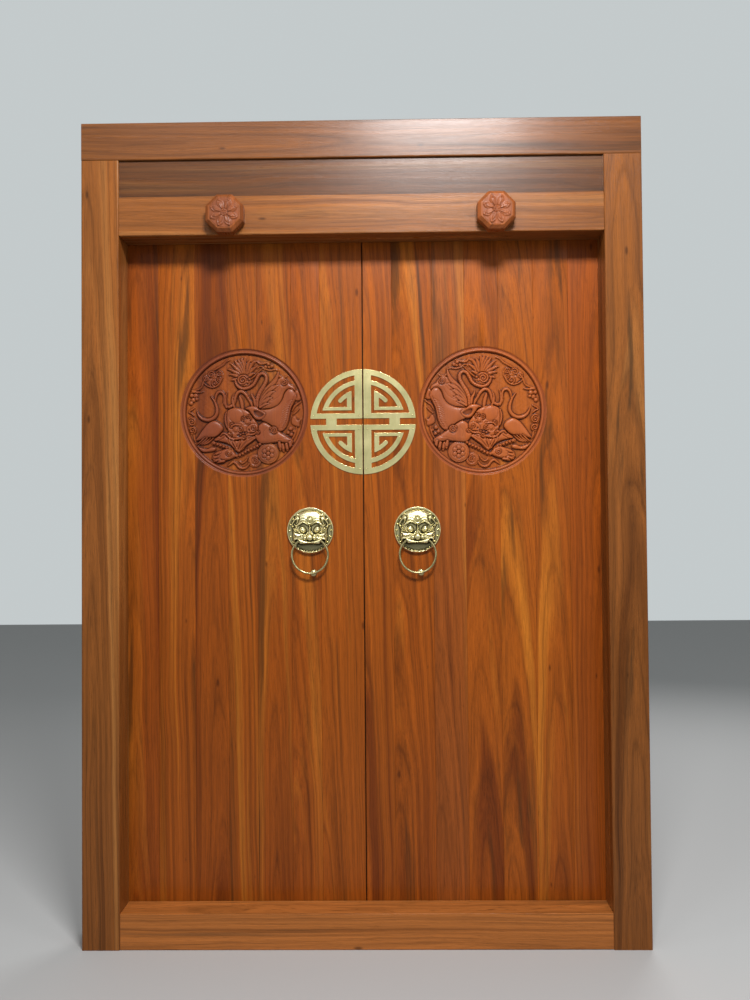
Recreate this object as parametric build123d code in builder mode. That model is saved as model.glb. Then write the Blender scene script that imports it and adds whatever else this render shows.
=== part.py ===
from build123d import *
from math import cos, hypot, pi, radians, sin, sqrt
import os

os.makedirs("parts", exist_ok=True)

# A double-leaf temple door in its own frame. Sizes are in millimetres. The origin is
# the middle of the sill's underside, X runs to the viewer's right, Z up, and the
# carved front looks towards -Y. The leaves open inward, towards +Y.

# Frame
frame_width = 1550.0
frame_height = 2275.0
frame_depth = 98.0
member_width = 104.0  # face width of the jambs and the head rail
sill_height = 98.0
transom_height = 103.0  # open height between the lintel and the head rail
lintel_height = 108.0
face_setback = 2.0  # lintel and sill stand this far behind the jambs' faces
member_arris = 2.0
tenon_thickness = 32.0
tenon_length = 50.0
tenon_shoulder = 16.0
mortise_spare = 2.0  # depth beyond the tenon's end
joint_gap = 0.2  # side clearance of every joint in wood

# Transom board between head rail and lintel
board_thickness = 24.0
board_setback = 9.0
board_groove = 12.0

# Leaves
leaf_gap = 2.0  # between the frame's back and the leaves' fronts
leaf_thickness = 50.0
leaf_lap = 20.0  # overlap of the leaves on sill and lintel
side_lap = 60.0  # overlap of the leaves on the jambs
meeting_gap = 3.0
plank_arris = 0.8
tongue_length = 10.0
tongue_thickness = 10.0
tongue_front = 15.0  # from the leaf's front to the tongue
seams_left = [122.0, 205.0, 303.0, 386.0, 480.0, 584.0]  # from the door's centre line
seams_right = [84.0, 198.0, 290.0, 387.0, 486.0, 585.0]

# Pivots, turned on the outer plank of each leaf
pivot_diameter = 34.0
pivot_play = 0.1  # on the radius, and under the lower pivot
beam_height = 70.0
beam_depth = 90.0
beam_overhang = 39.0  # from the pivots' axes to the pivot beam's ends
beam_clear = 4.0  # from the leaf's top to the pivot beam
beam_chamfer = 22.0
upper_pivot_spare = 6.0  # the upper pivot ends this far inside the beam's top
socket_block_width = 110.0
socket_block_depth = 88.0
socket_block_drop = 8.0  # from the leaf's bottom to the block's top
socket_block_slope = 30.0
socket_plate = 52.0
socket_height = 28.0
socket_depth = 20.0
socket_proud = 2.0

# Door pins, which hold the pivot beam to the lintel
pin_spacing = 744.0
pin_flats = 104.0
pin_projection = 40.0
pin_bevel = 9.0
pin_tenon = 34.0
pin_tail = 46.0  # length of the tenon behind the pivot beam
pin_drop = 4.0  # below the middle of the lintel
petal_count = 8
petal_length = 26.0
petal_width = 13.0
flower_height = 2.5
flower_eye = 8.0
wedge_thickness = 12.0
wedge_length = 90.0
wedge_drop = 24.0  # from the pin's middle to the wedge's lower end
wedge_narrow = 12.0
wedge_wide = 20.0

# Sliding battens across the back of each leaf
batten_count = 4
batten_margin = 190.0
batten_foot = 44.0
batten_neck = 36.0
batten_dovetail = 16.0
batten_proud = 16.0
batten_stop = 46.0  # from the leaf's outer edge to the batten's end
batten_chamfer = 4.0

# Bolt
bolt_height = 56.0
bolt_thickness = 34.0
bolt_length = 640.0
bolt_centre_height = 1030.0
bolt_withdrawn = 36.0  # from the door's centre line to the bar's end at rest
bolt_play = 0.6
bolt_off = 3.0  # from the leaf's back to the bar
bolt_lead = 4.0
guide_width = 60.0
guide_wall = 20.0
guide_inset = 90.0  # from the bar's end to the middle of the nearer guide
guide_spacing = 300.0
keeper_centre = 105.0
peg_width = 20.0
peg_length = 46.0
peg_clear = 5.0  # from the peg to the farther guide, with the bolt drawn back

# Roundel, two pierced brass half plates
roundel_radius = 150.0
roundel_height = 1448.0
roundel_thickness = 2.0
outer_band = 16.0
seam_bar = 23.5  # from the centre line to the bar's outer edge
seam_clear = 2.0
cross_bar_inner = 9.0
cross_bar_outer = 24.0
bridge_inner = 75.0
bridge_outer = 105.0
inner_band_outer = 120.0
inner_band_inner = 107.0
key_bar_low = 32.5
key_bar_high = 42.0
key_post_inner = 32.0
key_post_outer = 45.5
hook_outer = 94.0
hook_inner = 82.0
hook_angle = 43.0

# Lion mask, ring and strike stud
mask_spacing = 304.0
mask_height = 1139.0
mask_radius = 66.0
mask_rim_height = 7.0
mask_rim_width = 7.0
mask_ground = 4.0
ring_radius = 51.0  # to the middle of the wire
ring_wire = 6.0
ring_facets = 24
ring_hinge_drop = 32.0  # from the mask's middle down to the ring's axis
ring_hinge_half = 35.0  # from the mask's middle to the wire where it crosses the axis
ring_clear = 0.3  # from the hanging ring to the strike stud
ring_room = 0.6  # round the wire in the mask
hinge_bar_half = 20.0
muzzle_wall = 2.8
muzzle_rise = 6.0  # from the ring's axis up to the muzzle's lower edge
muzzle_bevel = 2.5
cheek_height = 17.0
skull_bevel = 6.0
jaw_height = 12.0
mouth_depth = 9.0
strike_offset = 9.0
strike_radius = 10.0
strike_sides = 16
strike_bevel = 2.0

# Medallion, cut into the planks
medallion_spacing = 677.6
medallion_height = 1477.0
medallion_radius = 183.0
bead_outer = 177.0
bead_crest = 172.0
bead_inner = 167.0
groove_depth = 4.0
bead_depth = 1.0
ground_depth = 10.0

# Levels and faces that the pieces share
front = -frame_depth / 2
back = frame_depth / 2
half_width = frame_width / 2
jamb_inner = half_width - member_width
head_bottom = frame_height - member_width
lintel_top = head_bottom - transom_height
lintel_bottom = lintel_top - lintel_height
setback_front = front + face_setback
leaf_front = back + leaf_gap
leaf_back = leaf_front + leaf_thickness
leaf_bottom = sill_height - leaf_lap
leaf_top = lintel_bottom + leaf_lap
leaf_outer = jamb_inner + side_lap
pivot_x = leaf_outer - leaf_thickness / 2
pivot_y = leaf_front + leaf_thickness / 2
beam_bottom = leaf_top + beam_clear
beam_top = beam_bottom + beam_height
beam_back = back + beam_depth
block_top = leaf_bottom - socket_block_drop
block_back = back + socket_block_depth
socket_top = block_top + socket_proud
socket_bottom = socket_top - socket_height
socket_floor = socket_top - socket_depth
pin_x = pin_spacing / 2
pin_z = (lintel_bottom + lintel_top) / 2 - pin_drop
pin_end = beam_back + pin_tail
batten_end = leaf_outer - batten_stop
batten_pitch = (leaf_top - leaf_bottom - 2 * batten_margin) / (batten_count - 1)
batten_heights = [
    leaf_bottom + batten_margin + i * batten_pitch for i in range(batten_count)
]
bar_front = leaf_back + bolt_off
bar_back = bar_front + bolt_thickness
guide_back = bar_back + bolt_play + guide_wall
guide_gap = bolt_height / 2 + bolt_play
mask_x = mask_spacing / 2
medallion_x = medallion_spacing / 2
ring_axis_z = mask_height - ring_hinge_drop
ring_rise = sqrt(ring_radius**2 - ring_hinge_half**2)
ring_centre_z = ring_axis_z - ring_rise

# The ring's way in the mask: how far its wire reaches from the axis when it swings
wire_room = ring_wire / 2 + ring_room
way_reach = ring_radius - ring_rise + wire_room
way_half = sqrt((ring_radius + wire_room) ** 2 - ring_rise**2) + ring_room
way_drop = 2 * wire_room
ring_standoff = mask_ground + way_reach
lip_back = ring_standoff + wire_room
lip_half = ring_hinge_half - wire_room
face_height = lip_back + muzzle_wall
hinge_bar_radius = sqrt((ring_radius - wire_room) ** 2 - hinge_bar_half**2) - ring_rise


def face_plane(x, z, out=0.0):
    """The leaf's front plane with its origin at x and z, moved out towards the viewer."""
    return Plane(origin=(x, leaf_front - out, z), x_dir=(1, 0, 0), z_dir=(0, -1, 0))


def block(x, y, z, mode=Mode.ADD):
    """A rectangular block between the two ends given along each axis."""
    with Locations([((x[0] + x[1]) / 2, (y[0] + y[1]) / 2, (z[0] + z[1]) / 2)]):
        Box(x[1] - x[0], y[1] - y[0], z[1] - z[0], mode=mode)


def finish(piece, name):
    piece.part.label = name
    export_step(piece.part, f"parts/{name}.step")


def finish_side(piece, name, side):
    """Writes a piece that was made on the right, mirrored where it belongs on the left."""
    with BuildPart() as placed:
        add(piece.part if side == "right" else mirror(piece.part, about=Plane.YZ))
    finish(placed, name)


def finish_pair(piece, name):
    for side in ("left", "right"):
        finish_side(piece, f"{name}_{side}", side)


def tenon_room(gap):
    """Y ends of a tenon or its mortise in the middle of the frame's depth."""
    half = tenon_thickness / 2 + gap
    return (-half, half)


# Jambs stand on the floor, with a tenon up into the head rail
jamb_tenon_x = (jamb_inner + tenon_shoulder, half_width - tenon_shoulder)
sill_tenon_z = (tenon_shoulder, sill_height - tenon_shoulder)
lintel_tenon_z = (lintel_bottom + tenon_shoulder, lintel_top - tenon_shoulder)
board_front = front + board_setback
board_back = board_front + board_thickness

with BuildPart() as jamb:
    with BuildSketch(Plane.XY) as jamb_section:
        with Locations(((jamb_inner + half_width) / 2, 0)):
            Rectangle(member_width, frame_depth)
        chamfer(jamb_section.vertices().group_by(Axis.Y)[0], member_arris)
    extrude(amount=head_bottom)
    block(jamb_tenon_x, tenon_room(0), (head_bottom, head_bottom + tenon_length))
    for low, high in (sill_tenon_z, lintel_tenon_z):
        block(
            (jamb_inner, jamb_inner + tenon_length + mortise_spare),
            tenon_room(joint_gap),
            (low - joint_gap, high + joint_gap),
            mode=Mode.SUBTRACT,
        )
    block(
        (jamb_inner, jamb_inner + board_groove),
        (board_front, board_back),
        (lintel_top - board_groove, head_bottom),
        mode=Mode.SUBTRACT,
    )
finish_pair(jamb, "jamb")

# Head rail, laid over both jambs, grooved underneath for the transom board
with BuildPart() as head_rail:
    with BuildSketch(Plane.YZ.offset(-half_width)) as head_section:
        with Locations((0, (head_bottom + frame_height) / 2)):
            Rectangle(frame_depth, member_width)
        chamfer(head_section.vertices().group_by(Axis.Y)[0], member_arris)
    extrude(amount=frame_width)
    for side in (-1, 1):
        ends = sorted(side * x for x in jamb_tenon_x)
        block(
            (ends[0] - joint_gap, ends[1] + joint_gap),
            tenon_room(joint_gap),
            (head_bottom, head_bottom + tenon_length + mortise_spare),
            mode=Mode.SUBTRACT,
        )
    block(
        (-jamb_inner - board_groove, jamb_inner + board_groove),
        (board_front, board_back),
        (head_bottom, head_bottom + board_groove),
        mode=Mode.SUBTRACT,
    )
finish(head_rail, "head_rail")


def crossmember(low, high, tenon_z):
    """A rail between the jambs with a tenon at each end, inside the current part."""
    with BuildSketch(Plane.YZ.offset(-jamb_inner)) as section:
        with Locations(((setback_front + back) / 2, (low + high) / 2)):
            Rectangle(back - setback_front, high - low)
        chamfer(section.vertices().group_by(Axis.Y)[0], member_arris)
    extrude(section.sketch, amount=2 * jamb_inner)
    block(
        (-jamb_inner - tenon_length, jamb_inner + tenon_length),
        tenon_room(0),
        tenon_z,
    )


with BuildPart() as sill:
    crossmember(0, sill_height, sill_tenon_z)
finish(sill, "sill")

pin_hole = pin_tenon + 2 * joint_gap
with BuildPart() as lintel:
    crossmember(lintel_bottom, lintel_top, lintel_tenon_z)
    block(
        (-jamb_inner, jamb_inner),
        (board_front, board_back),
        (lintel_top - board_groove, lintel_top),
        mode=Mode.SUBTRACT,
    )
    with BuildSketch(Plane.XZ.offset(-back)):
        with Locations((-pin_x, pin_z), (pin_x, pin_z)):
            Rectangle(pin_hole, pin_hole)
    extrude(amount=frame_depth, mode=Mode.SUBTRACT)
finish(lintel, "lintel")

with BuildPart() as transom_board:
    block(
        (-jamb_inner - board_groove, jamb_inner + board_groove),
        (board_front, board_back),
        (lintel_top - board_groove, head_bottom + board_groove),
    )
finish(transom_board, "transom_board")

# Pivot beam behind the lintel, bored for the leaves' upper pivots
with BuildPart() as pivot_beam:
    with BuildSketch(Plane.XY.offset(beam_bottom)) as beam_plan:
        with Locations((0, (back + beam_back) / 2)):
            Rectangle(2 * (pivot_x + beam_overhang), beam_depth)
        chamfer(beam_plan.vertices().group_by(Axis.Y)[-1], beam_chamfer)
    extrude(amount=beam_height)
    lower_back = pivot_beam.edges().filter_by(Axis.X).group_by(Axis.Y)[-1].sort_by(Axis.Z)[0]
    chamfer(lower_back, beam_chamfer / 2)
    with Locations((-pivot_x, pivot_y, beam_top), (pivot_x, pivot_y, beam_top)):
        Hole(pivot_diameter / 2 + pivot_play)
    with BuildSketch(Plane.XZ.offset(-beam_back)):
        with Locations((-pin_x, pin_z), (pin_x, pin_z)):
            Rectangle(pin_hole, pin_hole)
    extrude(amount=beam_depth, mode=Mode.SUBTRACT)
finish(pivot_beam, "pivot_beam")

# Door pins: an eight-sided head with a carved flower, and a tenon through lintel and beam
pin_face = Plane(origin=(pin_x, setback_front, pin_z), x_dir=(1, 0, 0), z_dir=(0, -1, 0))
wedge_bottom = pin_z - wedge_drop
wedge_slope = (wedge_wide - wedge_narrow) / wedge_length
wedge_held = wedge_narrow + wedge_slope * (wedge_drop + pin_tenon / 2)
slot_back = beam_back + wedge_held + joint_gap
with BuildPart() as door_pin:
    with BuildSketch(pin_face):
        RegularPolygon(pin_flats / 2, 8, major_radius=False, rotation=22.5)
    extrude(amount=pin_projection)
    chamfer(door_pin.faces().sort_by(Axis.Y)[0].edges(), pin_bevel)
    with BuildSketch(pin_face.offset(pin_projection)):
        with BuildLine():
            Polyline(
                (0, 0),
                (petal_length / 2, -petal_width / 2),
                (petal_length, -petal_width / 3),
                (petal_length + petal_width / 3, 0),
                (petal_length, petal_width / 3),
                (petal_length / 2, petal_width / 2),
                close=True,
            )
        petal = make_face()
        for i in range(1, petal_count):
            add(petal, rotation=i * 360 / petal_count)
    extrude(amount=flower_height)
    block(
        (pin_x - pin_tenon / 2, pin_x + pin_tenon / 2),
        (setback_front, pin_end),
        (pin_z - pin_tenon / 2, pin_z + pin_tenon / 2),
    )
    block(
        (pin_x - wedge_thickness / 2 - joint_gap, pin_x + wedge_thickness / 2 + joint_gap),
        (beam_back - wedge_narrow / 2, slot_back),
        (pin_z - pin_tenon, pin_z + pin_tenon),
        mode=Mode.SUBTRACT,
    )
finish_pair(door_pin, "door_pin")

# Wedges, driven down behind the pivot beam
with BuildPart() as wedge:
    with BuildSketch(Plane.YZ.offset(pin_x - wedge_thickness / 2)):
        with BuildLine():
            Polyline(
                (beam_back, wedge_bottom),
                (beam_back + wedge_narrow, wedge_bottom),
                (beam_back + wedge_wide, wedge_bottom + wedge_length),
                (beam_back, wedge_bottom + wedge_length),
                close=True,
            )
        make_face()
    extrude(amount=wedge_thickness)
finish_pair(wedge, "door_pin_wedge")

# Socket blocks behind the sill's ends, each with an iron socket for a lower pivot
block_x = (pivot_x - socket_block_width / 2, pivot_x + socket_block_width / 2)
with BuildPart() as socket_block:
    with BuildSketch(Plane.YZ.offset(block_x[0])):
        with BuildLine():
            Polyline(
                (back, 0),
                (block_back, 0),
                (block_back, block_top - socket_block_slope),
                (block_back - socket_block_slope / 2, block_top),
                (back, block_top),
                close=True,
            )
        make_face()
    extrude(amount=socket_block_width)
    block(
        (pivot_x - socket_plate / 2, pivot_x + socket_plate / 2),
        (back, pivot_y + socket_plate / 2),
        (socket_bottom, block_top),
        mode=Mode.SUBTRACT,
    )
finish_pair(socket_block, "socket_block")

with BuildPart() as pivot_socket:
    block(
        (pivot_x - socket_plate / 2, pivot_x + socket_plate / 2),
        (back, pivot_y + socket_plate / 2),
        (socket_bottom, socket_top),
    )
    with Locations((pivot_x, pivot_y, socket_top)):
        Hole(pivot_diameter / 2 + pivot_play, depth=socket_depth)
finish_pair(pivot_socket, "pivot_socket")


# Carving of the right medallion, as the viewer sees it. Each form is drawn from the
# medallion's middle: a stroke by x, y and half width at each point along it, a form
# with an outline by the points round it, a disc by its middle and radius.
low, middle, high = 4.5, 7.0, 9.5  # heights above the ground

strokes = [
    (low, [(-97, 118, 0), (-84, 88, 6), (-66, 64, 9), (-48, 40, 8), (-38, 18, 3)]),  # long feather
    (low, [(-90, 70, 0), (-74, 56, 5), (-56, 36, 7), (-38, 16, 4)]),  # second feather
    (middle, [(-32, 16, 8), (-33, 45, 8), (-46, 72, 7), (-57, 94, 6), (-50, 108, 5), (-38, 102, 5),
              (-28, 84, 5), (-10, 72, 5), (8, 73, 5), (20, 90, 4)]),  # looped spine of the tail
    (low, [(-34, 148, 0), (-24, 124, 7), (-10, 104, 8)]),  # flames of the pearl
    (low, [(-2, 158, 0), (0, 130, 8), (2, 104, 9)]),
    (low, [(28, 152, 0), (22, 128, 8), (12, 106, 8)]),
    (low, [(50, 122, 0), (36, 106, 7), (16, 94, 8)]),
    (low, [(-16, 26, 3), (-8, 46, 5), (8, 60, 5), (22, 52, 5), (30, 28, 5), (44, 17, 5),
           (57, 28, 3)]),  # ribbon over the head
    (low, [(52, 42, 2), (60, 58, 4), (73, 59, 4), (82, 40, 3), (80, 10, 4), (92, -14, 5),
           (112, -20, 6), (128, -9, 4), (134, 6, 1)]),  # tail
    (middle, [(-72, 22, 20), (-96, 50, 17), (-106, 76, 13), (-124, 76, 8), (-140, 60, 7),
              (-150, 42, 9)]),  # raised leg
    (high, [(-62, -2, 0), (-46, -4, 10), (-26, 2, 13), (-6, 9, 6), (6, 10, 0)]),  # ear
    (high, [(-34, -50, 20), (-68, -62, 17), (-98, -75, 11), (-118, -96, 12)]),  # near foreleg
    (middle, [(40, -117, 11), (62, -117, 11), (86, -128, 10)]),  # far forepaw
    (low, [(86, -102, 3), (108, -104, 6), (128, -97, 8), (144, -88, 4)]),  # hind paw
    (middle, [(-44, -90, 6), (-24, -100, 6), (0, -115, 6), (22, -122, 6), (38, -106, 6),
              (62, -95, 6), (92, -86, 5)]),  # beaded edge of the beard
    (low, [(152, 12, 3), (148, -4, 4), (152, -25, 9), (149, -50, 8), (146, -72, 1)]),
    (low, [(-162, 38, 2), (-156, 24, 4), (-142, 12, 3), (-150, -18, 3), (-152, -38, 5),
           (-130, -40, 5), (-134, -66, 6)]),
]
outlines = [
    (middle, [(-125, 4), (-104, 18), (-62, 8), (-20, 16), (20, 12), (50, 6), (61, -22),
              (50, -52), (0, -62), (-52, -40), (-92, -54), (-117, -30)]),  # body
    (middle, [(64, -45), (73, -28), (89, -23), (107, -32), (121, -50), (138, -78), (112, -73),
              (86, -69), (69, -62)]),  # haunch
    (high, [(-24, -14), (-2, 6), (26, 13), (47, 6), (50, -22), (46, -52), (30, -72), (6, -76),
            (-18, -66), (-37, -52), (-36, -36)]),  # head
    (middle, [(-42, -78), (-26, -66), (20, -80), (58, -58), (86, -76), (50, -88), (18, -112),
              (-16, -88)]),  # beard
    (low, [(62, 108), (76, 117), (98, 112), (118, 104), (108, 88), (90, 76), (70, 84)]),  # cloud
]
discs = [
    (low, 2, 90, 15),  # pearl
    (middle, -67, -117, 29),  # large coin
    (low, -28, -138, 19),  # small coin
]


def stroke_outline(points):
    """The corners of a form along a line, as wide at each point as the point says."""
    one, two = [], []
    for i, (x, y, half) in enumerate(points):
        before, after = points[max(i - 1, 0)], points[min(i + 1, len(points) - 1)]
        run_x, run_y = after[0] - before[0], after[1] - before[1]
        run = hypot(run_x, run_y)
        across_x, across_y = -run_y / run * half, run_x / run * half
        one.append((x + across_x, y + across_y))
        if half > 0:
            two.append((x - across_x, y - across_y))
    return one + two[::-1]


with BuildPart() as relief:
    for height in (low, middle, high):
        with BuildSketch(face_plane(medallion_x, medallion_height, -ground_depth)) as layer:
            shapes = [(level, stroke_outline(points)) for level, points in strokes]
            for level, corners in shapes + outlines:
                if level == height:
                    with BuildLine():
                        Polyline(*corners, close=True)
                    make_face()
            for level, disc_x, disc_y, radius in discs:
                if level == height:
                    with Locations((disc_x, disc_y)):
                        Circle(radius)
        extrude(amount=height)


def carving(inner, outer):
    """The medallion between two seams of the right leaf, inside the current part."""
    centre = (medallion_x, leaf_front, medallion_height)
    with BuildSketch(Plane(origin=centre, x_dir=(1, 0, 0), z_dir=(0, 0, -1))) as hollow:
        with BuildLine():
            Polyline(
                (0, groove_depth),
                (medallion_radius, groove_depth),
                (medallion_radius, 0),
                (bead_outer, -groove_depth),
                (bead_crest, -bead_depth),
                (bead_inner, -ground_depth),
                (0, -ground_depth),
                close=True,
            )
        make_face()
    revolve(hollow.sketch, axis=Axis(centre, (0, -1, 0)), mode=Mode.SUBTRACT)
    with BuildPart() as carved_slice:
        add(relief.part)
        block(
            (inner, outer),
            (leaf_front, leaf_front + ground_depth),
            (medallion_height - medallion_radius, medallion_height + medallion_radius),
            mode=Mode.INTERSECT,
        )
    add(carved_slice.part)


def dovetail(gap, x_from, x_to, mode):
    """The batten's foot, or its groove where a gap is given, at every batten height."""
    foot, neck = batten_foot / 2 + gap, batten_neck / 2 + gap
    with BuildSketch(Plane.YZ.offset(x_from)) as tails:
        for z in batten_heights:
            with BuildLine():
                Polyline(
                    (leaf_back, z - neck),
                    (leaf_back, z + neck),
                    (leaf_back - batten_dovetail, z + foot),
                    (leaf_back - batten_dovetail, z - foot),
                    close=True,
                )
            make_face()
    extrude(tails.sketch, amount=x_to - x_from, mode=mode)


def plank_section(inner, outer, is_first, is_last):
    """A plank's section, seen from above, on the right leaf."""
    tongue = (leaf_front + tongue_front, leaf_front + tongue_front + tongue_thickness)
    groove = (tongue[0] - joint_gap, tongue[1] + joint_gap)
    arris = plank_arris
    with BuildLine() as outline:
        if is_first:
            points = [(inner, leaf_back), (inner, leaf_front + arris)]
        else:
            depth = inner + tongue_length + joint_gap
            points = [
                (inner, leaf_back),
                (inner, groove[1]),
                (depth, groove[1]),
                (depth, groove[0]),
                (inner, groove[0]),
                (inner, leaf_front + arris),
            ]
        points.append((inner + arris, leaf_front))
        if is_last:
            points.append((pivot_x, leaf_front))
            edge = Polyline(*points)
            turn = ThreePointArc(edge @ 1, (outer, pivot_y), (pivot_x, leaf_back))
            Line(turn @ 1, edge @ 0)
        else:
            points += [
                (outer - arris, leaf_front),
                (outer, leaf_front + arris),
                (outer, tongue[0]),
                (outer + tongue_length, tongue[0]),
                (outer + tongue_length, tongue[1]),
                (outer, tongue[1]),
                (outer, leaf_back),
            ]
            Polyline(*points, close=True)
    make_face(outline.edges())


# Leaves, made on the right and mirrored for the left
for side, seams in (("left", seams_left), ("right", seams_right)):
    edges = [meeting_gap / 2, *seams, leaf_outer]
    for i, (inner, outer) in enumerate(zip(edges, edges[1:])):
        is_first, is_last = i == 0, i == len(edges) - 2
        with BuildPart() as plank:
            with BuildSketch(Plane.XY.offset(leaf_bottom)):
                plank_section(inner, outer, is_first, is_last)
            extrude(amount=leaf_top - leaf_bottom)
            reach = medallion_x + medallion_radius
            if inner < reach and outer > medallion_x - medallion_radius:
                carving(inner, outer)
            groove_end = outer + tongue_length
            if is_last:
                groove_end = batten_end + joint_gap
            dovetail(joint_gap, inner, groove_end, Mode.SUBTRACT)
            if is_last:
                with BuildSketch(Plane.XY.offset(leaf_top)):
                    with Locations((pivot_x, pivot_y)):
                        Circle(pivot_diameter / 2)
                extrude(amount=beam_top - upper_pivot_spare - leaf_top)
                with BuildSketch(Plane.XY.offset(socket_floor + pivot_play)):
                    with Locations((pivot_x, pivot_y)):
                        Circle(pivot_diameter / 2)
                extrude(amount=leaf_bottom - socket_floor - pivot_play)
        name = f"pivot_plank_{side}" if is_last else f"plank_{side}_{i + 1}"
        finish_side(plank, name, side)

# Battens, dovetailed into the leaf's back and slid in from the meeting edge
with BuildPart() as battens:
    dovetail(0, edges[0], batten_end, Mode.ADD)
    with BuildSketch(Plane.YZ.offset(edges[0])) as batten_bars:
        with Locations([(leaf_back + batten_proud / 2, z) for z in batten_heights]):
            Rectangle(batten_proud, batten_neck)
        chamfer(batten_bars.vertices().group_by(Axis.X)[-1], batten_chamfer)
    extrude(amount=batten_end - edges[0])
for i, batten_solid in enumerate(battens.solids().sort_by(Axis.Z)):
    with BuildPart() as batten:
        add(batten_solid)
    for side in ("left", "right"):
        finish_side(batten, f"batten_{side}_{i + 1}", side)

# Bolt bar on the back of the left leaf, with two guides there and a keeper on the right
bar_end = -bolt_withdrawn
bar_z = (bolt_centre_height - bolt_height / 2, bolt_centre_height + bolt_height / 2)


def staple(x):
    """A wooden block on the leaf's back with a slot for the bar, in the current part."""
    with BuildSketch(Plane.YZ.offset(x - guide_width / 2)) as staple_side:
        with Locations(((leaf_back + guide_back) / 2, bolt_centre_height)):
            Rectangle(guide_back - leaf_back, 2 * (guide_gap + guide_wall))
        chamfer(staple_side.vertices().group_by(Axis.X)[-1], guide_wall / 2)
        slot_end = bar_back + bolt_play
        with Locations(((leaf_back + slot_end) / 2, bolt_centre_height)):
            Rectangle(slot_end - leaf_back, 2 * guide_gap, mode=Mode.SUBTRACT)
    extrude(staple_side.sketch, amount=guide_width)


for i in range(2):
    with BuildPart() as bolt_guide:
        staple(bar_end - guide_inset - i * guide_spacing)
    finish(bolt_guide, f"bolt_guide_{i + 1}")
with BuildPart() as bolt_keeper:
    staple(keeper_centre)
finish(bolt_keeper, "bolt_keeper")

peg_x = bar_end - guide_inset - guide_spacing + (guide_width + peg_width) / 2 + peg_clear
peg_root = bolt_thickness / 2
peg_sides_x = (peg_x - peg_width / 2, peg_x + peg_width / 2)
peg_sides_z = (bolt_centre_height - peg_width / 2, bolt_centre_height + peg_width / 2)
with BuildPart() as bolt_bar:
    block((bar_end - bolt_length, bar_end), (bar_front, bar_back), bar_z)
    chamfer(bolt_bar.faces().sort_by(Axis.X)[-1].edges(), bolt_lead)
    block(peg_sides_x, (bar_back - peg_root, bar_back), peg_sides_z, mode=Mode.SUBTRACT)
finish(bolt_bar, "bolt_bar")

with BuildPart() as bolt_peg:
    block(peg_sides_x, (bar_back - peg_root, bar_back + peg_length), peg_sides_z)
    chamfer(bolt_peg.faces().sort_by(Axis.Y)[-1].edges(), peg_width / 5)
finish(bolt_peg, "bolt_peg")


def fret_band(outer, inner, x_from, z_from):
    """A ring's upper right part from x_from and z_from on, in the current sketch."""
    with BuildSketch() as band:
        Circle(outer)
        Circle(inner, mode=Mode.SUBTRACT)
        with Locations((x_from, z_from)):
            Rectangle(outer, outer, align=(Align.MIN, Align.MIN), mode=Mode.INTERSECT)
    add(band.sketch_local)


def fret_bar(x, z, rim):
    """A straight bar between the ends given, cut off by a circle, in the current sketch."""
    with BuildSketch() as bar:
        with Locations((x[0], z[0])):
            Rectangle(x[1] - x[0], z[1] - z[0], align=(Align.MIN, Align.MIN))
        Circle(rim, mode=Mode.INTERSECT)
    add(bar.sketch_local)


# Roundel: the right half plate, pierced as a fret
hook_mid = (hook_outer + hook_inner) / 2
hook_x, hook_z = cos(radians(hook_angle)), sin(radians(hook_angle))
with BuildPart() as roundel:
    with BuildSketch(face_plane(0, roundel_height)) as fret:
        fret_band(roundel_radius, roundel_radius - outer_band, seam_clear, cross_bar_inner)
        fret_bar((seam_clear, seam_bar), (cross_bar_inner, roundel_radius), roundel_radius)
        fret_bar((seam_clear, roundel_radius), (cross_bar_inner, cross_bar_outer), roundel_radius)
        fret_band(inner_band_outer, inner_band_inner, seam_clear, key_bar_low)
        fret_bar((key_post_inner, inner_band_outer), (key_bar_low, key_bar_high), inner_band_outer)
        fret_bar((key_post_inner, key_post_outer), (key_bar_low, hook_outer), hook_outer)
        with BuildSketch():
            Circle(hook_outer)
            Circle(hook_inner, mode=Mode.SUBTRACT)
            with BuildLine():
                Polyline(
                    (key_post_inner, key_post_inner * hook_z / hook_x),
                    (roundel_radius * hook_x, roundel_radius * hook_z),
                    (roundel_radius * hook_x, roundel_radius),
                    (key_post_inner, roundel_radius),
                    close=True,
                )
            make_face(mode=Mode.INTERSECT)
        with Locations((hook_mid * hook_x, hook_mid * hook_z)):
            Circle((hook_outer - hook_inner) / 2)
        mirror(about=Plane.XZ)
        with Locations(((bridge_inner + bridge_outer) / 2, 0)):
            Rectangle(bridge_outer - bridge_inner, 2 * cross_bar_inner)
    extrude(amount=roundel_thickness)
finish_pair(roundel, "roundel")

# Lion mask: a round brass plate with a raised face. The ring passes through both corners
# of the mouth and swings round a bar behind the upper lip
def mask_form(points, base, top, both=False, mode=Mode.ADD):
    """A form of the mask between two heights; both adds its mirror image."""
    with BuildSketch(face_plane(mask_x, mask_height, base)) as form:
        with BuildLine():
            Polyline(*points, close=True)
        make_face()
        if both:
            mirror(about=Plane.YZ)
    extrude(form.sketch, amount=top - base, mode=mode)


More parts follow.
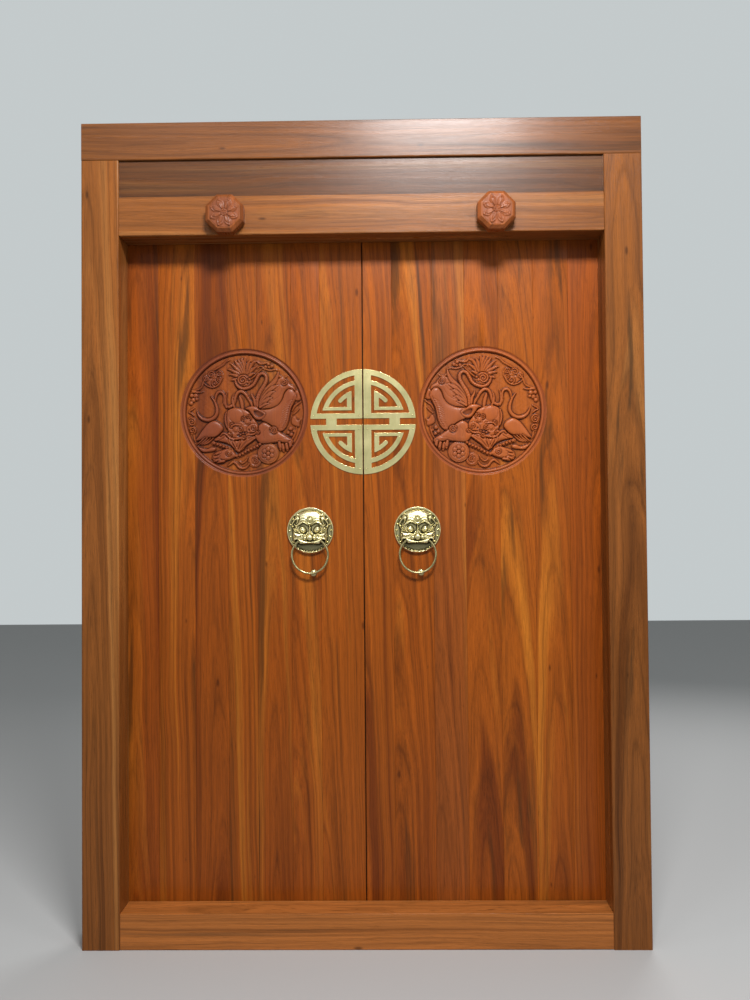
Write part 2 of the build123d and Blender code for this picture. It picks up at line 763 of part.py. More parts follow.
with BuildPart() as mask:
    with BuildSketch(face_plane(mask_x, mask_height)):
        Circle(mask_radius)
    extrude(amount=mask_rim_height)
    with BuildSketch(face_plane(mask_x, mask_height, mask_ground)):
        Circle(mask_radius - mask_rim_width)
    extrude(amount=mask_rim_height - mask_ground, mode=Mode.SUBTRACT)
    # skull, with the cheeks beside the mouth
    mask_form(
        [(-26, 52), (26, 52), (46, 34), (52, 6), (51, -38), (40, -48), (-40, -48),
         (-51, -38), (-52, 6), (-46, 34)],
        mask_ground, cheek_height,
    )
    chamfer(mask.faces().sort_by(Axis.Y)[0].edges(), skull_bevel)
    # muzzle and forehead
    mask_form(
        [(-18, 44), (18, 44), (34, 26), (38, 0), (way_half + 7, -18),
         (way_half + 6, muzzle_rise - ring_hinge_drop),
         (-way_half - 6, muzzle_rise - ring_hinge_drop),
         (-way_half - 7, -18), (-38, 0), (-34, 26)],
        mask_ground, face_height,
    )
    chamfer(mask.faces().sort_by(Axis.Y)[0].edges(), muzzle_bevel)
    # brows, eyes, ears and whiskers
    mask_form([(-3, 19), (-12, 29), (-28, 28), (-40, 14), (-33, 15), (-23, 21), (-12, 19)],
              mask_ground, face_height + 4, both=True)
    mask_form([(-29, 4), (-26, 11), (-18, 12), (-12, 4), (-16, -4), (-24, -6)],
              mask_ground, face_height + 3, both=True)
    mask_form([(-38, 14), (-52, 24), (-55, 8), (-46, 0)], mask_ground, cheek_height, both=True)
    mask_form([(-33, -10), (-44, -6), (-54, -13), (-45, -19), (-35, -16)],
              mask_ground, cheek_height + 3, both=True)
    # boss on the forehead, and the nose
    mask_form([(-5, 32), (-5, 37), (0, 40), (5, 37), (5, 32), (0, 29)],
              mask_ground, face_height + 3)
    mask_form([(-3, 10), (3, 10), (6, -8), (14, -14), (14, -23), (5, -27), (-5, -27),
               (-14, -23), (-14, -14), (-6, -8)], mask_ground, face_height + 6)
    # mouth, opened to its corners in front of the ring's way
    mask_form([(-way_half, muzzle_rise - ring_hinge_drop),
               (way_half, muzzle_rise - ring_hinge_drop), (way_half, -46), (24, -54),
               (-24, -54), (-way_half, -46)],
              mouth_depth, face_height + 6, mode=Mode.SUBTRACT)
    mask_form(
        [(-way_half, -way_drop - ring_hinge_drop), (way_half, -way_drop - ring_hinge_drop),
         (way_half, muzzle_rise - ring_hinge_drop), (lip_half, way_reach - ring_hinge_drop),
         (-lip_half, way_reach - ring_hinge_drop), (-way_half, muzzle_rise - ring_hinge_drop)],
        mask_ground, lip_back, mode=Mode.SUBTRACT,
    )
    # upper lip, the bar behind it, and the lower jaw with its teeth
    mask_form([(-lip_half, -21), (-20, -25), (0, -29), (20, -25), (lip_half, -21),
               (lip_half, -30), (17, -38), (-17, -38), (-lip_half, -30)],
              lip_back, face_height + 4)
    with BuildSketch(Plane.YZ.offset(mask_x - hinge_bar_half)):
        with Locations((leaf_front - ring_standoff, ring_axis_z)):
            Circle(hinge_bar_radius)
    extrude(amount=2 * hinge_bar_half)
    mask_form([(-42, -44), (-30, -54), (-14, -60), (14, -60), (30, -54), (42, -44),
               (37, -41), (28, -48), (12, -54), (-12, -54), (-28, -48), (-37, -41)],
              mask_ground, jaw_height)
finish_pair(mask, "mask")

# Ring, an eight-sided wire bent round in flats, hanging from the mask's mouth
facet_angle = 2 * pi / ring_facets
ring_corner = ring_radius / cos(facet_angle / 2)
with BuildPart() as ring:
    hanging = face_plane(mask_x, ring_centre_z, ring_standoff)
    with BuildLine(hanging):
        turns = [facet_angle * (i + 0.5) for i in range(ring_facets)]
        corners = [(ring_corner * sin(a), ring_corner * cos(a)) for a in turns]
        Polyline((0, ring_radius), *corners, (0, ring_radius))
    start = hanging.from_local_coords(Vector(0, ring_radius, 0))
    with BuildSketch(Plane(origin=start, x_dir=(0, 0, 1), z_dir=(1, 0, 0))):
        RegularPolygon(ring_wire / 2, 8)
    sweep(transition=Transition.RIGHT)
finish_pair(ring, "ring")

# Strike stud on the leaf behind the ring's lower end, set off to the viewer's right
strike_height = ring_standoff - ring_wire / 2 - ring_clear
for side, shift in (("left", -strike_offset), ("right", strike_offset)):
    with BuildPart() as strike:
        with BuildSketch(face_plane(mask_x + shift, ring_centre_z - ring_radius)):
            RegularPolygon(strike_radius, strike_sides)
        extrude(amount=strike_height)
        chamfer(strike.faces().sort_by(Axis.Y)[0].edges(), strike_bevel)
    finish_side(strike, f"strike_stud_{side}", side)
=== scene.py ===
import math
import bmesh
import bpy
import numpy as np
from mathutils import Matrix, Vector


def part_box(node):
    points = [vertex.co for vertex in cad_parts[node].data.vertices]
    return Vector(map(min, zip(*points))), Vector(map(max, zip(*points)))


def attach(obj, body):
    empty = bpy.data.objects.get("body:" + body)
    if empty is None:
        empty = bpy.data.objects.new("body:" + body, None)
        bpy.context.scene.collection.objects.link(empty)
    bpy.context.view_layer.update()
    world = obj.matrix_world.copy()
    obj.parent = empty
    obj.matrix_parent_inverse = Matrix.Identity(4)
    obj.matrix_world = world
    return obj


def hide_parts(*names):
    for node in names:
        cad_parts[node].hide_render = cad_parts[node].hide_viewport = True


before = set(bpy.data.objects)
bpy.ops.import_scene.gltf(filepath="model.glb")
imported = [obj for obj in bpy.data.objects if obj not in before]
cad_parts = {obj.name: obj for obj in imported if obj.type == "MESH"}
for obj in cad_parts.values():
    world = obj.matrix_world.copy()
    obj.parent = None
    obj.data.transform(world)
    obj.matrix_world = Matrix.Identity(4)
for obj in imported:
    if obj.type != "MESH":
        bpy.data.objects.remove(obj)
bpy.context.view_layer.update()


# Camera: it stands in front of the door, a little right of the middle and at chest height,
# turned and lifted slightly, as the photograph was taken.
def add_object(name, data):
    """A new object in the scene."""
    added = bpy.data.objects.new(name, data)
    bpy.context.scene.collection.objects.link(added)
    return added


camera = add_object("camera", bpy.data.cameras.new("camera"))
camera.data.sensor_fit = "AUTO"
camera.data.sensor_width = 36.0
camera.data.lens = 36.0
camera.location = (0.0772, -2.7888, 1.1564)
camera_lift, camera_roll, camera_turn = 0.024, 0.008, 0.016
camera.rotation_euler = (math.radians(90) + camera_lift, camera_roll, camera_turn)
bpy.context.scene.camera = camera


# Studio: a pale floor and two soft panels under the ceiling in front of the door, with weaker
# ones at the sides and behind. The air is paler to the camera and in the brass than as light.
def join(tree, value, socket):
    """Gives an input a value, or links another node's output to it."""
    if isinstance(value, bpy.types.NodeSocket):
        tree.links.new(value, socket)
    else:
        socket.default_value = value


def feed(tree, node, **inputs):
    """Joins a value or a link to each input, which is named in words_with_underscores."""
    for name, value in inputs.items():
        title = name.replace("_", " ").lower()
        join(tree, value, [s for s in node.inputs if s.name.lower() == title and s.enabled][0])


def put(tree, kind, settings=None, **inputs):
    """Adds a shader node with its settings and inputs."""
    node = tree.nodes.new("ShaderNode" + kind)
    for name, value in (settings or {}).items():
        setattr(node, name, value)
    feed(tree, node, **inputs)
    return node


def calculate(tree, kind, operation, *values):
    """The outputs of a Math or VectorMath node that works on values or links."""
    node = put(tree, kind, {"operation": operation})
    for value, socket in zip(values, node.inputs):
        join(tree, value, socket)
    return node.outputs


def remap(tree, value, to_min, to_max, from_min=0.0, from_max=1.0):
    """A value carried from one range into another."""
    return put(tree, "MapRange", Value=value, From_Min=from_min, From_Max=from_max,
               To_Min=to_min, To_Max=to_max).outputs[0]


def new_material(name):
    """A material with its node tree and its shader."""
    material = bpy.data.materials.new(name)
    material.use_nodes = True
    return material, material.node_tree, material.node_tree.nodes["Principled BSDF"]


def soft_panel(name, place, target, size, power):
    """A lamp as large as a window that looks at a target."""
    lamp = add_object(name, bpy.data.lights.new(name, "AREA"))
    lamp.data.shape = "RECTANGLE"
    lamp.data.size, lamp.data.size_y = size
    lamp.data.energy = power
    lamp.location = place
    aim = Vector(target) - Vector(place)
    lamp.rotation_euler = aim.to_track_quat("-Z", "Y").to_euler()


floor_reach = 9
floor_corners = [(floor_reach * x, floor_reach * y, 0) for x, y in ((-1, -1), (1, -1), (1, 1), (-1, 1))]
floor_mesh = bpy.data.meshes.new("studio_floor")
floor_mesh.from_pydata(floor_corners, [], [(0, 1, 2, 3)])
floor = add_object("studio_floor", floor_mesh)
studio_paint, paint_tree, paint_shader = new_material("studio_paint")
feed(paint_tree, paint_shader, Base_Color=(0.48, 0.475, 0.47, 1), Roughness=0.8)
floor.data.materials.append(studio_paint)

soft_panel("ceiling_panel_right", (0.34, -2.05, 3.20), (0.3, 0, 1.1), (0.7, 0.4), 92)
soft_panel("ceiling_panel_left", (-1.00, -2.30, 3.60), (-0.2, 0, 1.1), (0.8, 0.7), 12)
soft_panel("right_panel", (3.0, -2.6, 2.4), (0, 0, 1.2), (1.0, 1.8), 20)
soft_panel("left_panel", (-3.2, -1.9, 1.8), (0, 0, 1.0), (1.0, 1.8), 14)
soft_panel("back_panel", (1.5, 3.2, 3.0), (0, 0, 1.2), (2.0, 1.5), 60)

world = bpy.data.worlds.new("studio_air")
bpy.context.scene.world = world
world.use_nodes = True
air = world.node_tree
as_light, as_seen = 0.29, 0.80
ray = put(air, "LightPath").outputs
seen = calculate(air, "Math", "MAXIMUM", ray["Is Camera Ray"], ray["Is Glossy Ray"])[0]
feed(air, air.nodes["Background"], Color=(0.69, 0.74, 0.75, 1),
     Strength=remap(air, seen, as_light, as_seen))
bpy.context.scene.view_settings.view_transform = "Standard"


# Frame: two jambs with a head rail laid over them, sill, lintel and a thin transom board,
# of solid elm under several coats of clear orange-brown lacquer. The edges are planed
# square and only broken by hand with sandpaper.
def ramp(tree, factor, stops):
    """A colour ramp with stops of (position, colour or grey)."""
    node = put(tree, "ValToRGB", Fac=factor)
    band = node.color_ramp
    while len(band.elements) < len(stops):
        band.elements.new(1.0)
    for element, (position, colour) in zip(band.elements, stops):
        element.position = position
        element.color = (*colour, 1) if isinstance(colour, tuple) else (colour, colour, colour, 1)
    return node.outputs["Color"]


def blend(tree, kind, factor, one, two):
    """One colour mixed with, or multiplied by, another."""
    node = put(tree, "Mix", {"data_type": "RGBA", "blend_type": kind})
    factor_input, one_input, two_input = 0, 6, 7
    for value, at in ((factor, factor_input), (one, one_input), (two, two_input)):
        join(tree, (*value, 1) if isinstance(value, tuple) else value, node.inputs[at])
    return node.outputs[2]


def noise_at(tree, place, scale, detail, roughness=0.5):
    """The outputs of a noise texture."""
    return put(tree, "TexNoise", Vector=place, Scale=scale, Detail=detail, Roughness=roughness).outputs


def lacquered_wood(name, heart, body, pale, log, node, gloss, grain="upright", lean=0.03,
                   coat=0.10, carved=1.0):
    """Elm with year rings, long fibres, pores, dark streaks and small knots.

    log takes the board from another tree, whose heart lies some centimetres behind the
    board's face; lean tilts the tree to the board, which draws its rings into long arches.
    """
    material, tree, shader = new_material(name)
    place = put(tree, "TexCoord").outputs["Object"]
    low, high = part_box(node)
    aside, behind = 0.055 * math.sin(7.3 * log), 0.060 + 0.035 * math.sin(3.1 * log)
    pith = [0.5 * (a + b) for a, b in zip(low, high)]
    pith[0 if grain == "upright" else 2] += aside
    pith[1] = low[1] + behind
    from_pith = calculate(tree, "VectorMath", "SUBTRACT", place, pith)[0]
    board = put(
        tree, "Mapping", Vector=from_pith, Location=(0, 0, 1.7 * log),
        Rotation=(lean, 0.3 * lean, 0) if grain == "upright" else (lean, math.radians(90), 0),
    ).outputs[0]

    # the trunk isn't straight: its rings sway, and swell where a branch was
    swing = 0.036
    slow = put(tree, "Mapping", Vector=board, Scale=(5.0, 5.0, 1.5)).outputs[0]
    sway = noise_at(tree, slow, 1.0, 2.5)["Color"]
    bent = calculate(tree, "VectorMath", "MULTIPLY_ADD", sway, (swing, swing, 0.0), board)[0]
    across_trunk = put(tree, "Mapping", Vector=bent, Location=(-swing / 2, -swing / 2, 0),
                       Scale=(1, 1, 0)).outputs[0]
    growth = calculate(tree, "VectorMath", "LENGTH", across_trunk)["Value"]
    axes = put(tree, "SeparateXYZ", Vector=bent).outputs
    in_rings = put(tree, "CombineXYZ", X=growth, Y=axes["X"], Z=axes["Z"]).outputs[0]

    def stretched(across, along, around=0.0, start=in_rings):
        return put(tree, "Mapping", Vector=start, Scale=(across, around, along)).outputs[0]

    def noise(across, along, around, detail, roughness=0.5):
        return noise_at(tree, stretched(across, along, around), 1.0, detail, roughness)["Fac"]

    rings = put(
        tree, "TexWave", {"wave_type": "BANDS", "bands_direction": "X", "wave_profile": "SAW"},
        Vector=stretched(1.0, 0.05, 0.2), Scale=26.0, Distortion=5.5, Detail=2.5,
        Detail_Scale=0.5, Detail_Roughness=0.6,
    ).outputs["Fac"]
    broad = noise(30, 0.30, 5, 3.0, 0.55)
    fibres = noise(120, 0.7, 30, 5.0, 0.66)
    hairs = noise(420, 3.0, 420, 4.0, 0.6)
    pores = noise(1100, 20, 1100, 2.0)
    minerals = noise(42, 0.45, 22, 4.0, 0.60)

    tone = ramp(tree, broad, [(0.33, heart), (0.45, body), (0.57, body), (0.70, pale)])
    for strength, layer, stops in (
        (0.55, rings, [(0.0, 0.55), (0.10, 0.90), (0.5, 1.10), (0.90, 1.0), (1.0, 0.60)]),
        (0.70, fibres, [(0.30, 0.48), (0.44, 0.86), (0.55, 1.06), (0.72, 1.36)]),
        (0.62, hairs, [(0.30, 0.60), (0.6, 1.15)]),
        (0.75, pores, [(0.30, 0.45), (0.42, 1.0)]),
    ):
        tone = blend(tree, "MULTIPLY", strength, tone, ramp(tree, layer, stops))
    dark = (0.40 * heart[0], 0.66 * heart[1], 1.3 * heart[2])
    tone = blend(tree, "MIX", ramp(tree, minerals, [(0.60, 0.0), (0.70, 0.72)]), tone, dark)

    # small knots, on the board's face: a cell of the pattern holds one, of its own size
    apart = put(tree, "SeparateXYZ", Vector=stretched(8.5, 3.1, start=board)).outputs
    flat = put(tree, "CombineXYZ", X=apart["X"], Y=apart["Z"]).outputs[0]
    cells = put(tree, "TexVoronoi", {"voronoi_dimensions": "2D"}, Vector=flat, Scale=1.0).outputs
    size = put(tree, "SeparateColor", Color=cells["Color"]).outputs["Red"]
    room = remap(tree, size, -0.02, 0.030, 0.45, 1.0)
    inside = calculate(tree, "Math", "SUBTRACT", room, cells["Distance"])[0]
    knot = remap(tree, inside, 0.0, 0.7, -0.020, 0.010)
    tone = blend(tree, "MIX", knot, tone, tuple(0.35 * c for c in heart))

    # cut surfaces of the carving are redder; its hollows are darkened, partly by the darker lacquer that
    # pools there and partly as painted shade that stands for the shadow in the recesses
    cut = put(tree, "Attribute", {"attribute_name": "cut"}).outputs["Fac"]
    hollow = put(tree, "Attribute", {"attribute_name": "hollow"}).outputs["Fac"]
    # for the carved planks the cut colour is scaled by carved, lighter on the right leaf and darker on the
    # left: painted light
    tone = blend(tree, "MIX", remap(tree, cut, 0.0, 0.70), tone,
                 (carved * body[0], carved * body[1] + 0.005, carved * body[2] + 0.020))
    tone = blend(tree, "MULTIPLY", hollow, tone, (0.17, 0.10, 0.09))

    rough = remap(tree, fibres, gloss + 0.10, gloss - 0.05, 0.3, 0.7)
    rubbed = calculate(tree, "Math", "MULTIPLY_ADD", cut, 0.04, rough)[0]
    relief = calculate(tree, "Math", "MULTIPLY_ADD", hairs, 0.8, pores)[0]
    bump = put(tree, "Bump", Strength=0.4, Distance=0.0005, Height=relief)
    feed(tree, shader, Base_Color=tone, Roughness=rubbed, Specular_IOR_Level=0.14,
         Coat_Weight=coat, Coat_Roughness=0.20, Normal=bump.outputs["Normal"])
    return material


def fresh_copy(node):
    """A merged copy of a CAD piece's mesh, without its triangulation and split edges."""
    edit = bmesh.new()
    edit.from_mesh(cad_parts[node].data)
    bmesh.ops.remove_doubles(edit, verts=edit.verts, dist=1e-6)
    bmesh.ops.dissolve_limit(
        edit, angle_limit=math.radians(0.6), verts=edit.verts, edges=edit.edges)
    mesh = bpy.data.meshes.new(node + "_dressed")
    edit.to_mesh(mesh)
    edit.free()
    if "custom_normal" in mesh.attributes:
        mesh.attributes.remove(mesh.attributes["custom_normal"])
    return mesh


def place_piece(name, mesh, material, body, slot, *nodes):
    """Makes a finished mesh a piece of the door that rides on a body."""
    mesh.materials.clear()
    mesh.materials.append(material)
    piece = add_object(name, mesh)
    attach(piece, body)
    if nodes:
        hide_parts(*nodes)
    return piece


def dressed(node, body, slot, material, arris, mesh=None):
    """Stands for a CAD piece, with its sharp edges rounded as the maker leaves them."""
    mesh = mesh or fresh_copy(node)
    mesh.shade_smooth()
    piece = place_piece(node + "_dressed", mesh, material, body, slot, node)
    edge = piece.modifiers.new("arris", "BEVEL")
    edge.width = arris
    edge.segments = 3
    edge.limit_method = "ANGLE"
    edge.angle_limit = math.radians(28)
    edge.harden_normals = True


def toned(colour, light, red=0.0, grey=0.0):
    """A wood colour made lighter or darker, redder, or greyer."""
    r, g, b = (light * c for c in colour)
    r, g, b = r * (1 + 0.5 * red), g * (1 - 0.3 * red), b
    mean = (r + g + b) / 3
    return tuple(c + grey * (mean - c) for c in (r, g, b))


frame_colours = ((0.145, 0.044, 0.0085), (0.275, 0.089, 0.0180), (0.40, 0.155, 0.038))
frame_arris = 0.0018
for node, grain, log, light, grey, coat in [
    ("jamb_left", "upright", 1.35, 0.84, 0.00, 0.08),
    ("jamb_right", "upright", 2.62, 0.76, 0.00, 0.08),
    ("head_rail", "level", 3.90, 0.62, 0.03, 0.16),
    ("lintel", "level", 5.15, 0.84, 0.03, 0.12),
    ("transom_board", "level", 6.71, 0.38, 0.03, 0.24),
    ("sill", "level", 7.44, 1.50, 0.02, 0.08),
]:
    wood = lacquered_wood(
        node + "_elm", *(toned(c, light, grey=grey) for c in frame_colours),
        log=log, node=node, grain=grain, gloss=0.27, coat=coat)
    dressed(node, "frame", "frame_wood", wood, frame_arris)


# Pivot beam, socket blocks and wedges: plain elm behind the frame, oiled and not lacquered.
# The leaves' upper pivots turn in the beam, their lower ones in the blocks' iron sockets.
def oiled(node, body, grain, log, arris):
    """A plain CAD piece at the back."""
    wood = lacquered_wood(
        node + "_elm", *back_colours, log=log, node=node, grain=grain, gloss=0.42, coat=0.03)
    dressed(node, body, "back_wood", wood, arris)


back_colours = ((0.14, 0.048, 0.014), (0.27, 0.105, 0.034), (0.40, 0.18, 0.066))
for node, grain, log, arris in [
    ("pivot_beam", "level", 8.1, 0.0020),
    ("socket_block_left", "level", 9.3, 0.0020),
    ("socket_block_right", "level", 10.4, 0.0020),
    ("door_pin_wedge_left", "upright", 11.2, 0.0008),
    ("door_pin_wedge_right", "upright", 12.5, 0.0008),
]:
    oiled(node, "frame", grain, log, arris)

forged_iron, iron_tree, iron_shader = new_material("forged_iron")
iron_place = put(iron_tree, "TexCoord").outputs["Object"]
scale_marks = noise_at(iron_tree, iron_place, 90.0, 5.0, 0.6)["Fac"]
iron_tone = ramp(iron_tree, scale_marks, [
    (0.35, (0.022, 0.019, 0.017)), (0.55, (0.055, 0.048, 0.042)), (0.75, (0.110, 0.060, 0.034))])
iron_bump = put(iron_tree, "Bump", Strength=0.5, Distance=0.0008, Height=scale_marks)
feed(iron_tree, iron_shader, Base_Color=iron_tone, Metallic=0.8,
     Roughness=remap(iron_tree, scale_marks, 0.35, 0.75), Normal=iron_bump.outputs["Normal"])
for node in ("pivot_socket_left", "pivot_socket_right"):
    dressed(node, "frame", "iron", forged_iron, 0.0008)


# Door pins: eight-sided heads of reddish elm, each carved with a rosette of eight petals.
# Their tenons pass through the lintel and the pivot beam and are wedged behind it.
class CarvedRelief:
    """Heights of a carving in millimetres, cut one form over another as a carver does."""

    def __init__(self, half, step):
        self.half, self.step = half, step
        self.side = int(round(2 * half / step)) + 1
        self.height = np.zeros((self.side, self.side))
        self.dark = np.zeros((self.side, self.side))

    def patch(self, points, margin):
        """The part of the grid round some points, with its coordinates."""
        low = ((points.min(axis=0) - margin + self.half) / self.step).astype(int)
        high = ((points.max(axis=0) + margin + self.half) / self.step).astype(int) + 2
        (x0, y0), (x1, y1) = np.clip(low, 0, self.side), np.clip(high, 0, self.side)
        rows, columns = np.mgrid[y0:y1, x0:x1]
        where = (slice(y0, y1), slice(x0, x1))
        return where, columns * self.step - self.half, rows * self.step - self.half

    def lay(self, where, depth, base, top, round_in, moat=1.6, dark=0.0):
        """Puts in a rounded form where depth is over 0, with a cut along its edge."""
        old = self.height[where]
        inner = np.clip(depth / round_in, 0, 1)
        form = base + (top - base) * np.sqrt(1 - (1 - inner) ** 2)
        edge_cut = np.exp(-((depth / moat) ** 2)) * np.clip(0.75 * old, 0, 2.6)
        self.height[where] = np.where(depth > 0, form, old - edge_cut)
        self.dark[where] = np.where(depth > 0, dark, self.dark[where])

    def form(self, points, base, top, round_in, **more):
        """A form inside the outline x, y, rounded over round_in from its edge."""
        outline = flowing(points, closed=True)
        where, x, y = self.patch(outline, 4.0)
        near, _ = line_distance(x, y, np.vstack([outline, outline[:1]]))
        self.lay(where, np.where(within(x, y, outline), near, -near), base, top, round_in, **more)

    def stroke(self, points, base, top, **more):
        """A strand along x, y, half width."""
        line = flowing(points)
        widest = line[:, 2].max()
        where, x, y = self.patch(line[:, :2], widest + 4.0)
        near, along = line_distance(x, y, line[:, :2])
        half = np.maximum(np.interp(along, range(len(line)), line[:, 2]), 0.4)
        self.lay(where, half - near, base, top, half, **more)

    def score(self, points, depth, half):
        """A veiner's cut along x, y."""
        line = flowing(points)
        where, x, y = self.patch(line[:, :2], 3 * half)
        near, _ = line_distance(x, y, line[:, :2])
        self.height[where] -= depth * np.exp(-((near / half) ** 2))

    def ball(self, x, y, radius, base, top, **more):
        """A round knob."""
        where, gx, gy = self.patch(np.array([[x, y]], float), radius + 4)
        self.lay(where, radius - np.hypot(gx - x, gy - y), base, top, radius, **more)

    def coil(self, x, y, radius, base, top, turns, start, hand=1):
        """A curl: a strand wound inwards."""
        steps = np.linspace(0, 1, 26)
        angle = start + hand * 2 * math.pi * turns * steps
        reach = radius * (1 - 0.82 * steps)
        half = radius * (0.20 - 0.06 * steps)
        self.ball(x, y, radius * 1.15, base - 1.0, base)
        self.stroke(
            np.column_stack([x + reach * np.cos(angle), y + reach * np.sin(angle), half]),
            base, top, moat=0.9)

    def sample(self, values, x, y):
        """Values of a grid between its points."""
        u = np.clip((np.asarray(x) + self.half) / self.step, 0, self.side - 1.001)
        v = np.clip((np.asarray(y) + self.half) / self.step, 0, self.side - 1.001)
        i, j = u.astype(int), v.astype(int)
        s, t = u - i, v - j
        low = values[j, i] * (1 - s) + values[j, i + 1] * s
        high = values[j + 1, i] * (1 - s) + values[j + 1, i + 1] * s
        return low * (1 - t) + high * t

    def hollows(self, reach, full):
        """How deep each point lies under its surroundings, from 0 to 1 at full."""
        return np.clip((softened(self.height, reach / self.step) - self.height) / full, 0, 1)


def flowing(points, closed=False, cuts=6):
    """A smooth line through given points."""
    p = np.asarray(points, float)
    p = np.vstack([p[-1:], p, p[:2]]) if closed else np.vstack([2 * p[0] - p[1], p, 2 * p[-1] - p[-2]])
    t = np.linspace(0, 1, cuts, endpoint=False)[:, None]
    runs = [
        0.5 * (2 * b + (c - a) * t + (2 * a - 5 * b + 4 * c - d) * t**2 + (3 * b - 3 * c + d - a) * t**3)
        for a, b, c, d in zip(p, p[1:], p[2:], p[3:])
    ]
    line = np.vstack(runs)
    return line if closed else np.vstack([line, p[-2]])


def line_distance(x, y, line):
    """Distance to the nearest run of a line, and where on the line that is."""
    near, along = np.full(x.shape, 1e9), np.zeros(x.shape)
    for i, (a, b) in enumerate(zip(line[:-1], line[1:])):
        run = b - a
        t = np.clip(((x - a[0]) * run[0] + (y - a[1]) * run[1]) / max(run @ run, 1e-9), 0, 1)
        distance = np.hypot(x - a[0] - t * run[0], y - a[1] - t * run[1])
        closer = distance < near
        near[closer] = distance[closer]
        along[closer] = i + t[closer]
    return near, along


def within(x, y, outline):
    """Which points lie inside a closed outline."""
    inside = np.zeros(x.shape, bool)
    for a, b in zip(outline, np.roll(outline, -1, axis=0)):
        if a[1] != b[1]:
            at = a[0] + (y - a[1]) * (b[0] - a[0]) / (b[1] - a[1])
            inside ^= ((a[1] > y) != (b[1] > y)) & (x < at)
    return inside


def softened(values, sigma):
    """Values of a grid, smoothed over sigma cells."""
    reach = int(3 * sigma) + 1
    weights = np.exp(-0.5 * (np.arange(-reach, reach + 1) / sigma) ** 2)
    weights /= weights.sum()
    for axis in (0, 1):
        pad = [(reach, reach) if a == axis else (0, 0) for a in (0, 1)]
        wide = np.pad(values, pad, mode="edge")
        values = sum(
            w * np.take(wide, range(i, i + values.shape[axis]), axis=axis)
            for i, w in enumerate(weights))
    return values


def mesh_of(name, vertices, faces, smooth=True, **attributes):
    """A mesh of points in metres and faces, with values for the material at each point."""
    mesh = bpy.data.meshes.new(name)
    mesh.from_pydata([tuple(v) for v in vertices], [], faces)
    for title, values in attributes.items():
        layer = mesh.attributes.new(title, "FLOAT", "POINT")
        layer.data.foreach_set("value", np.asarray(values, np.float32))
    mesh.polygons.foreach_set("use_smooth", np.full(len(mesh.polygons), smooth))
    return mesh


def all_round(count):
    """Angles that divide a full turn."""
    return 2 * math.pi * np.arange(count) / count


def turned_grid(rings, spokes, reach):
    """Places of a round grid: its middle, then ring after ring. reach is its edge."""
    angles = all_round(spokes)
    x, z = [0.0], [0.0]
    for ring in rings:
        x.extend(ring * reach * np.cos(angles))
        z.extend(ring * reach * np.sin(angles))
    return np.array(x), np.array(z)


def grid_faces(count, spokes):
    """Faces of a round grid that is closed behind by one more face."""
    faces = [(0, 1 + (i + 1) % spokes, 1 + i) for i in range(spokes)]
    for ring in range(count - 1):
        a, b = 1 + ring * spokes, 1 + (ring + 1) * spokes
        faces += [(a + i, a + (i + 1) % spokes, b + (i + 1) % spokes, b + i) for i in range(spokes)]
    last = 1 + (count - 1) * spokes
    faces.append(tuple(last + i for i in range(spokes)))
    return faces


def facing_out(mesh):
    """Turns the faces of a closed mesh outwards."""
    edit = bmesh.new()
    edit.from_mesh(mesh)
    bmesh.ops.recalc_face_normals(edit, faces=edit.faces)
    edit.to_mesh(mesh)
    edit.free()
    return mesh


pin_relief = CarvedRelief(52.0, 0.5)
for petal in range(8):
    turn = math.radians(45 * petal + 22.5)
    along = np.array([math.cos(turn), math.sin(turn)])
    for start, end, wide, top in ((8, 36, 8.0, 3.0), (10, 29, 4.6, 3.8)):
        pin_relief.stroke(
            [(*(r * along), w) for r, w in (
                (start, 0.5 * wide), (0.6 * start + 0.4 * end, 0.9 * wide),
                (0.2 * start + 0.8 * end, wide), (end + 3, 0.25 * wide))],
            top - 2.0, top)
    pin_relief.score([12 * along, 34 * along], 0.9, 0.8)
pin_relief.ball(0, 0, 9.5, 2.0, 4.2)
for seed in range(6):
    turn = math.radians(60 * seed)
    pin_relief.ball(5.2 * math.cos(turn), 5.2 * math.sin(turn), 1.9, 3.4, 4.4, moat=0.7)
pin_relief.height = softened(pin_relief.height, 0.8)
# the rosette is darkened where it lies below its surroundings: painted shade in its hollows
rosette_shade = np.clip(0.35 * pin_relief.hollows(3.0, 1.6), 0, 0.5)

pin_colours = ((0.19, 0.048, 0.011), (0.29, 0.080, 0.020), (0.38, 0.125, 0.038))
pin_face, pin_x, pin_z = -0.087, 0.372, 2.010
rosette_spokes, rosette_reach, rosette_lift, rosette_sunk_edge = 144, 40.0, 0.35, -0.6
rosette_rings = np.append(np.linspace(0.02, 1.0, 59), 1.0)
gx, gz = turned_grid(rosette_rings, rosette_spokes, rosette_reach)
rise = pin_relief.sample(pin_relief.height, gx, gz) + rosette_lift
rise[-rosette_spokes:] = rosette_sunk_edge
# painted light: the left pin is darker and the right one lighter, as the lamps fall more on the right
for side, sign, light, log in (("left", -1, 0.80, 13.7), ("right", 1, 0.96, 14.9)):
    node = "door_pin_" + side
    pin_wood = lacquered_wood(
        node + "_elm", *(toned(c, light) for c in pin_colours), log=log, node=node, gloss=0.26)
    bare_pin = fresh_copy(node)
    edit = bmesh.new()
    edit.from_mesh(bare_pin)
    raised = [v for v in edit.verts if v.co.y < pin_face - 5e-5]
    bmesh.ops.delete(edit, geom=raised, context="VERTS")
    bmesh.ops.holes_fill(edit, edges=[e for e in edit.edges if e.is_boundary], sides=0)
    edit.to_mesh(bare_pin)
    edit.free()
    dressed(node, "frame", "frame_wood", pin_wood, 0.0012, facing_out(bare_pin))
    places = np.column_stack([sign * pin_x + gx / 1000, pin_face - rise / 1000, pin_z + gz / 1000])
    rosette = mesh_of(
        "pin_rosette_" + side, places, grid_faces(len(rosette_rings), rosette_spokes),
        hollow=pin_relief.sample(rosette_shade, gx, gz), cut=np.full(len(gx), 0.5))
    place_piece("pin_rosette_" + side, facing_out(rosette), pin_wood, "frame", "frame_wood")


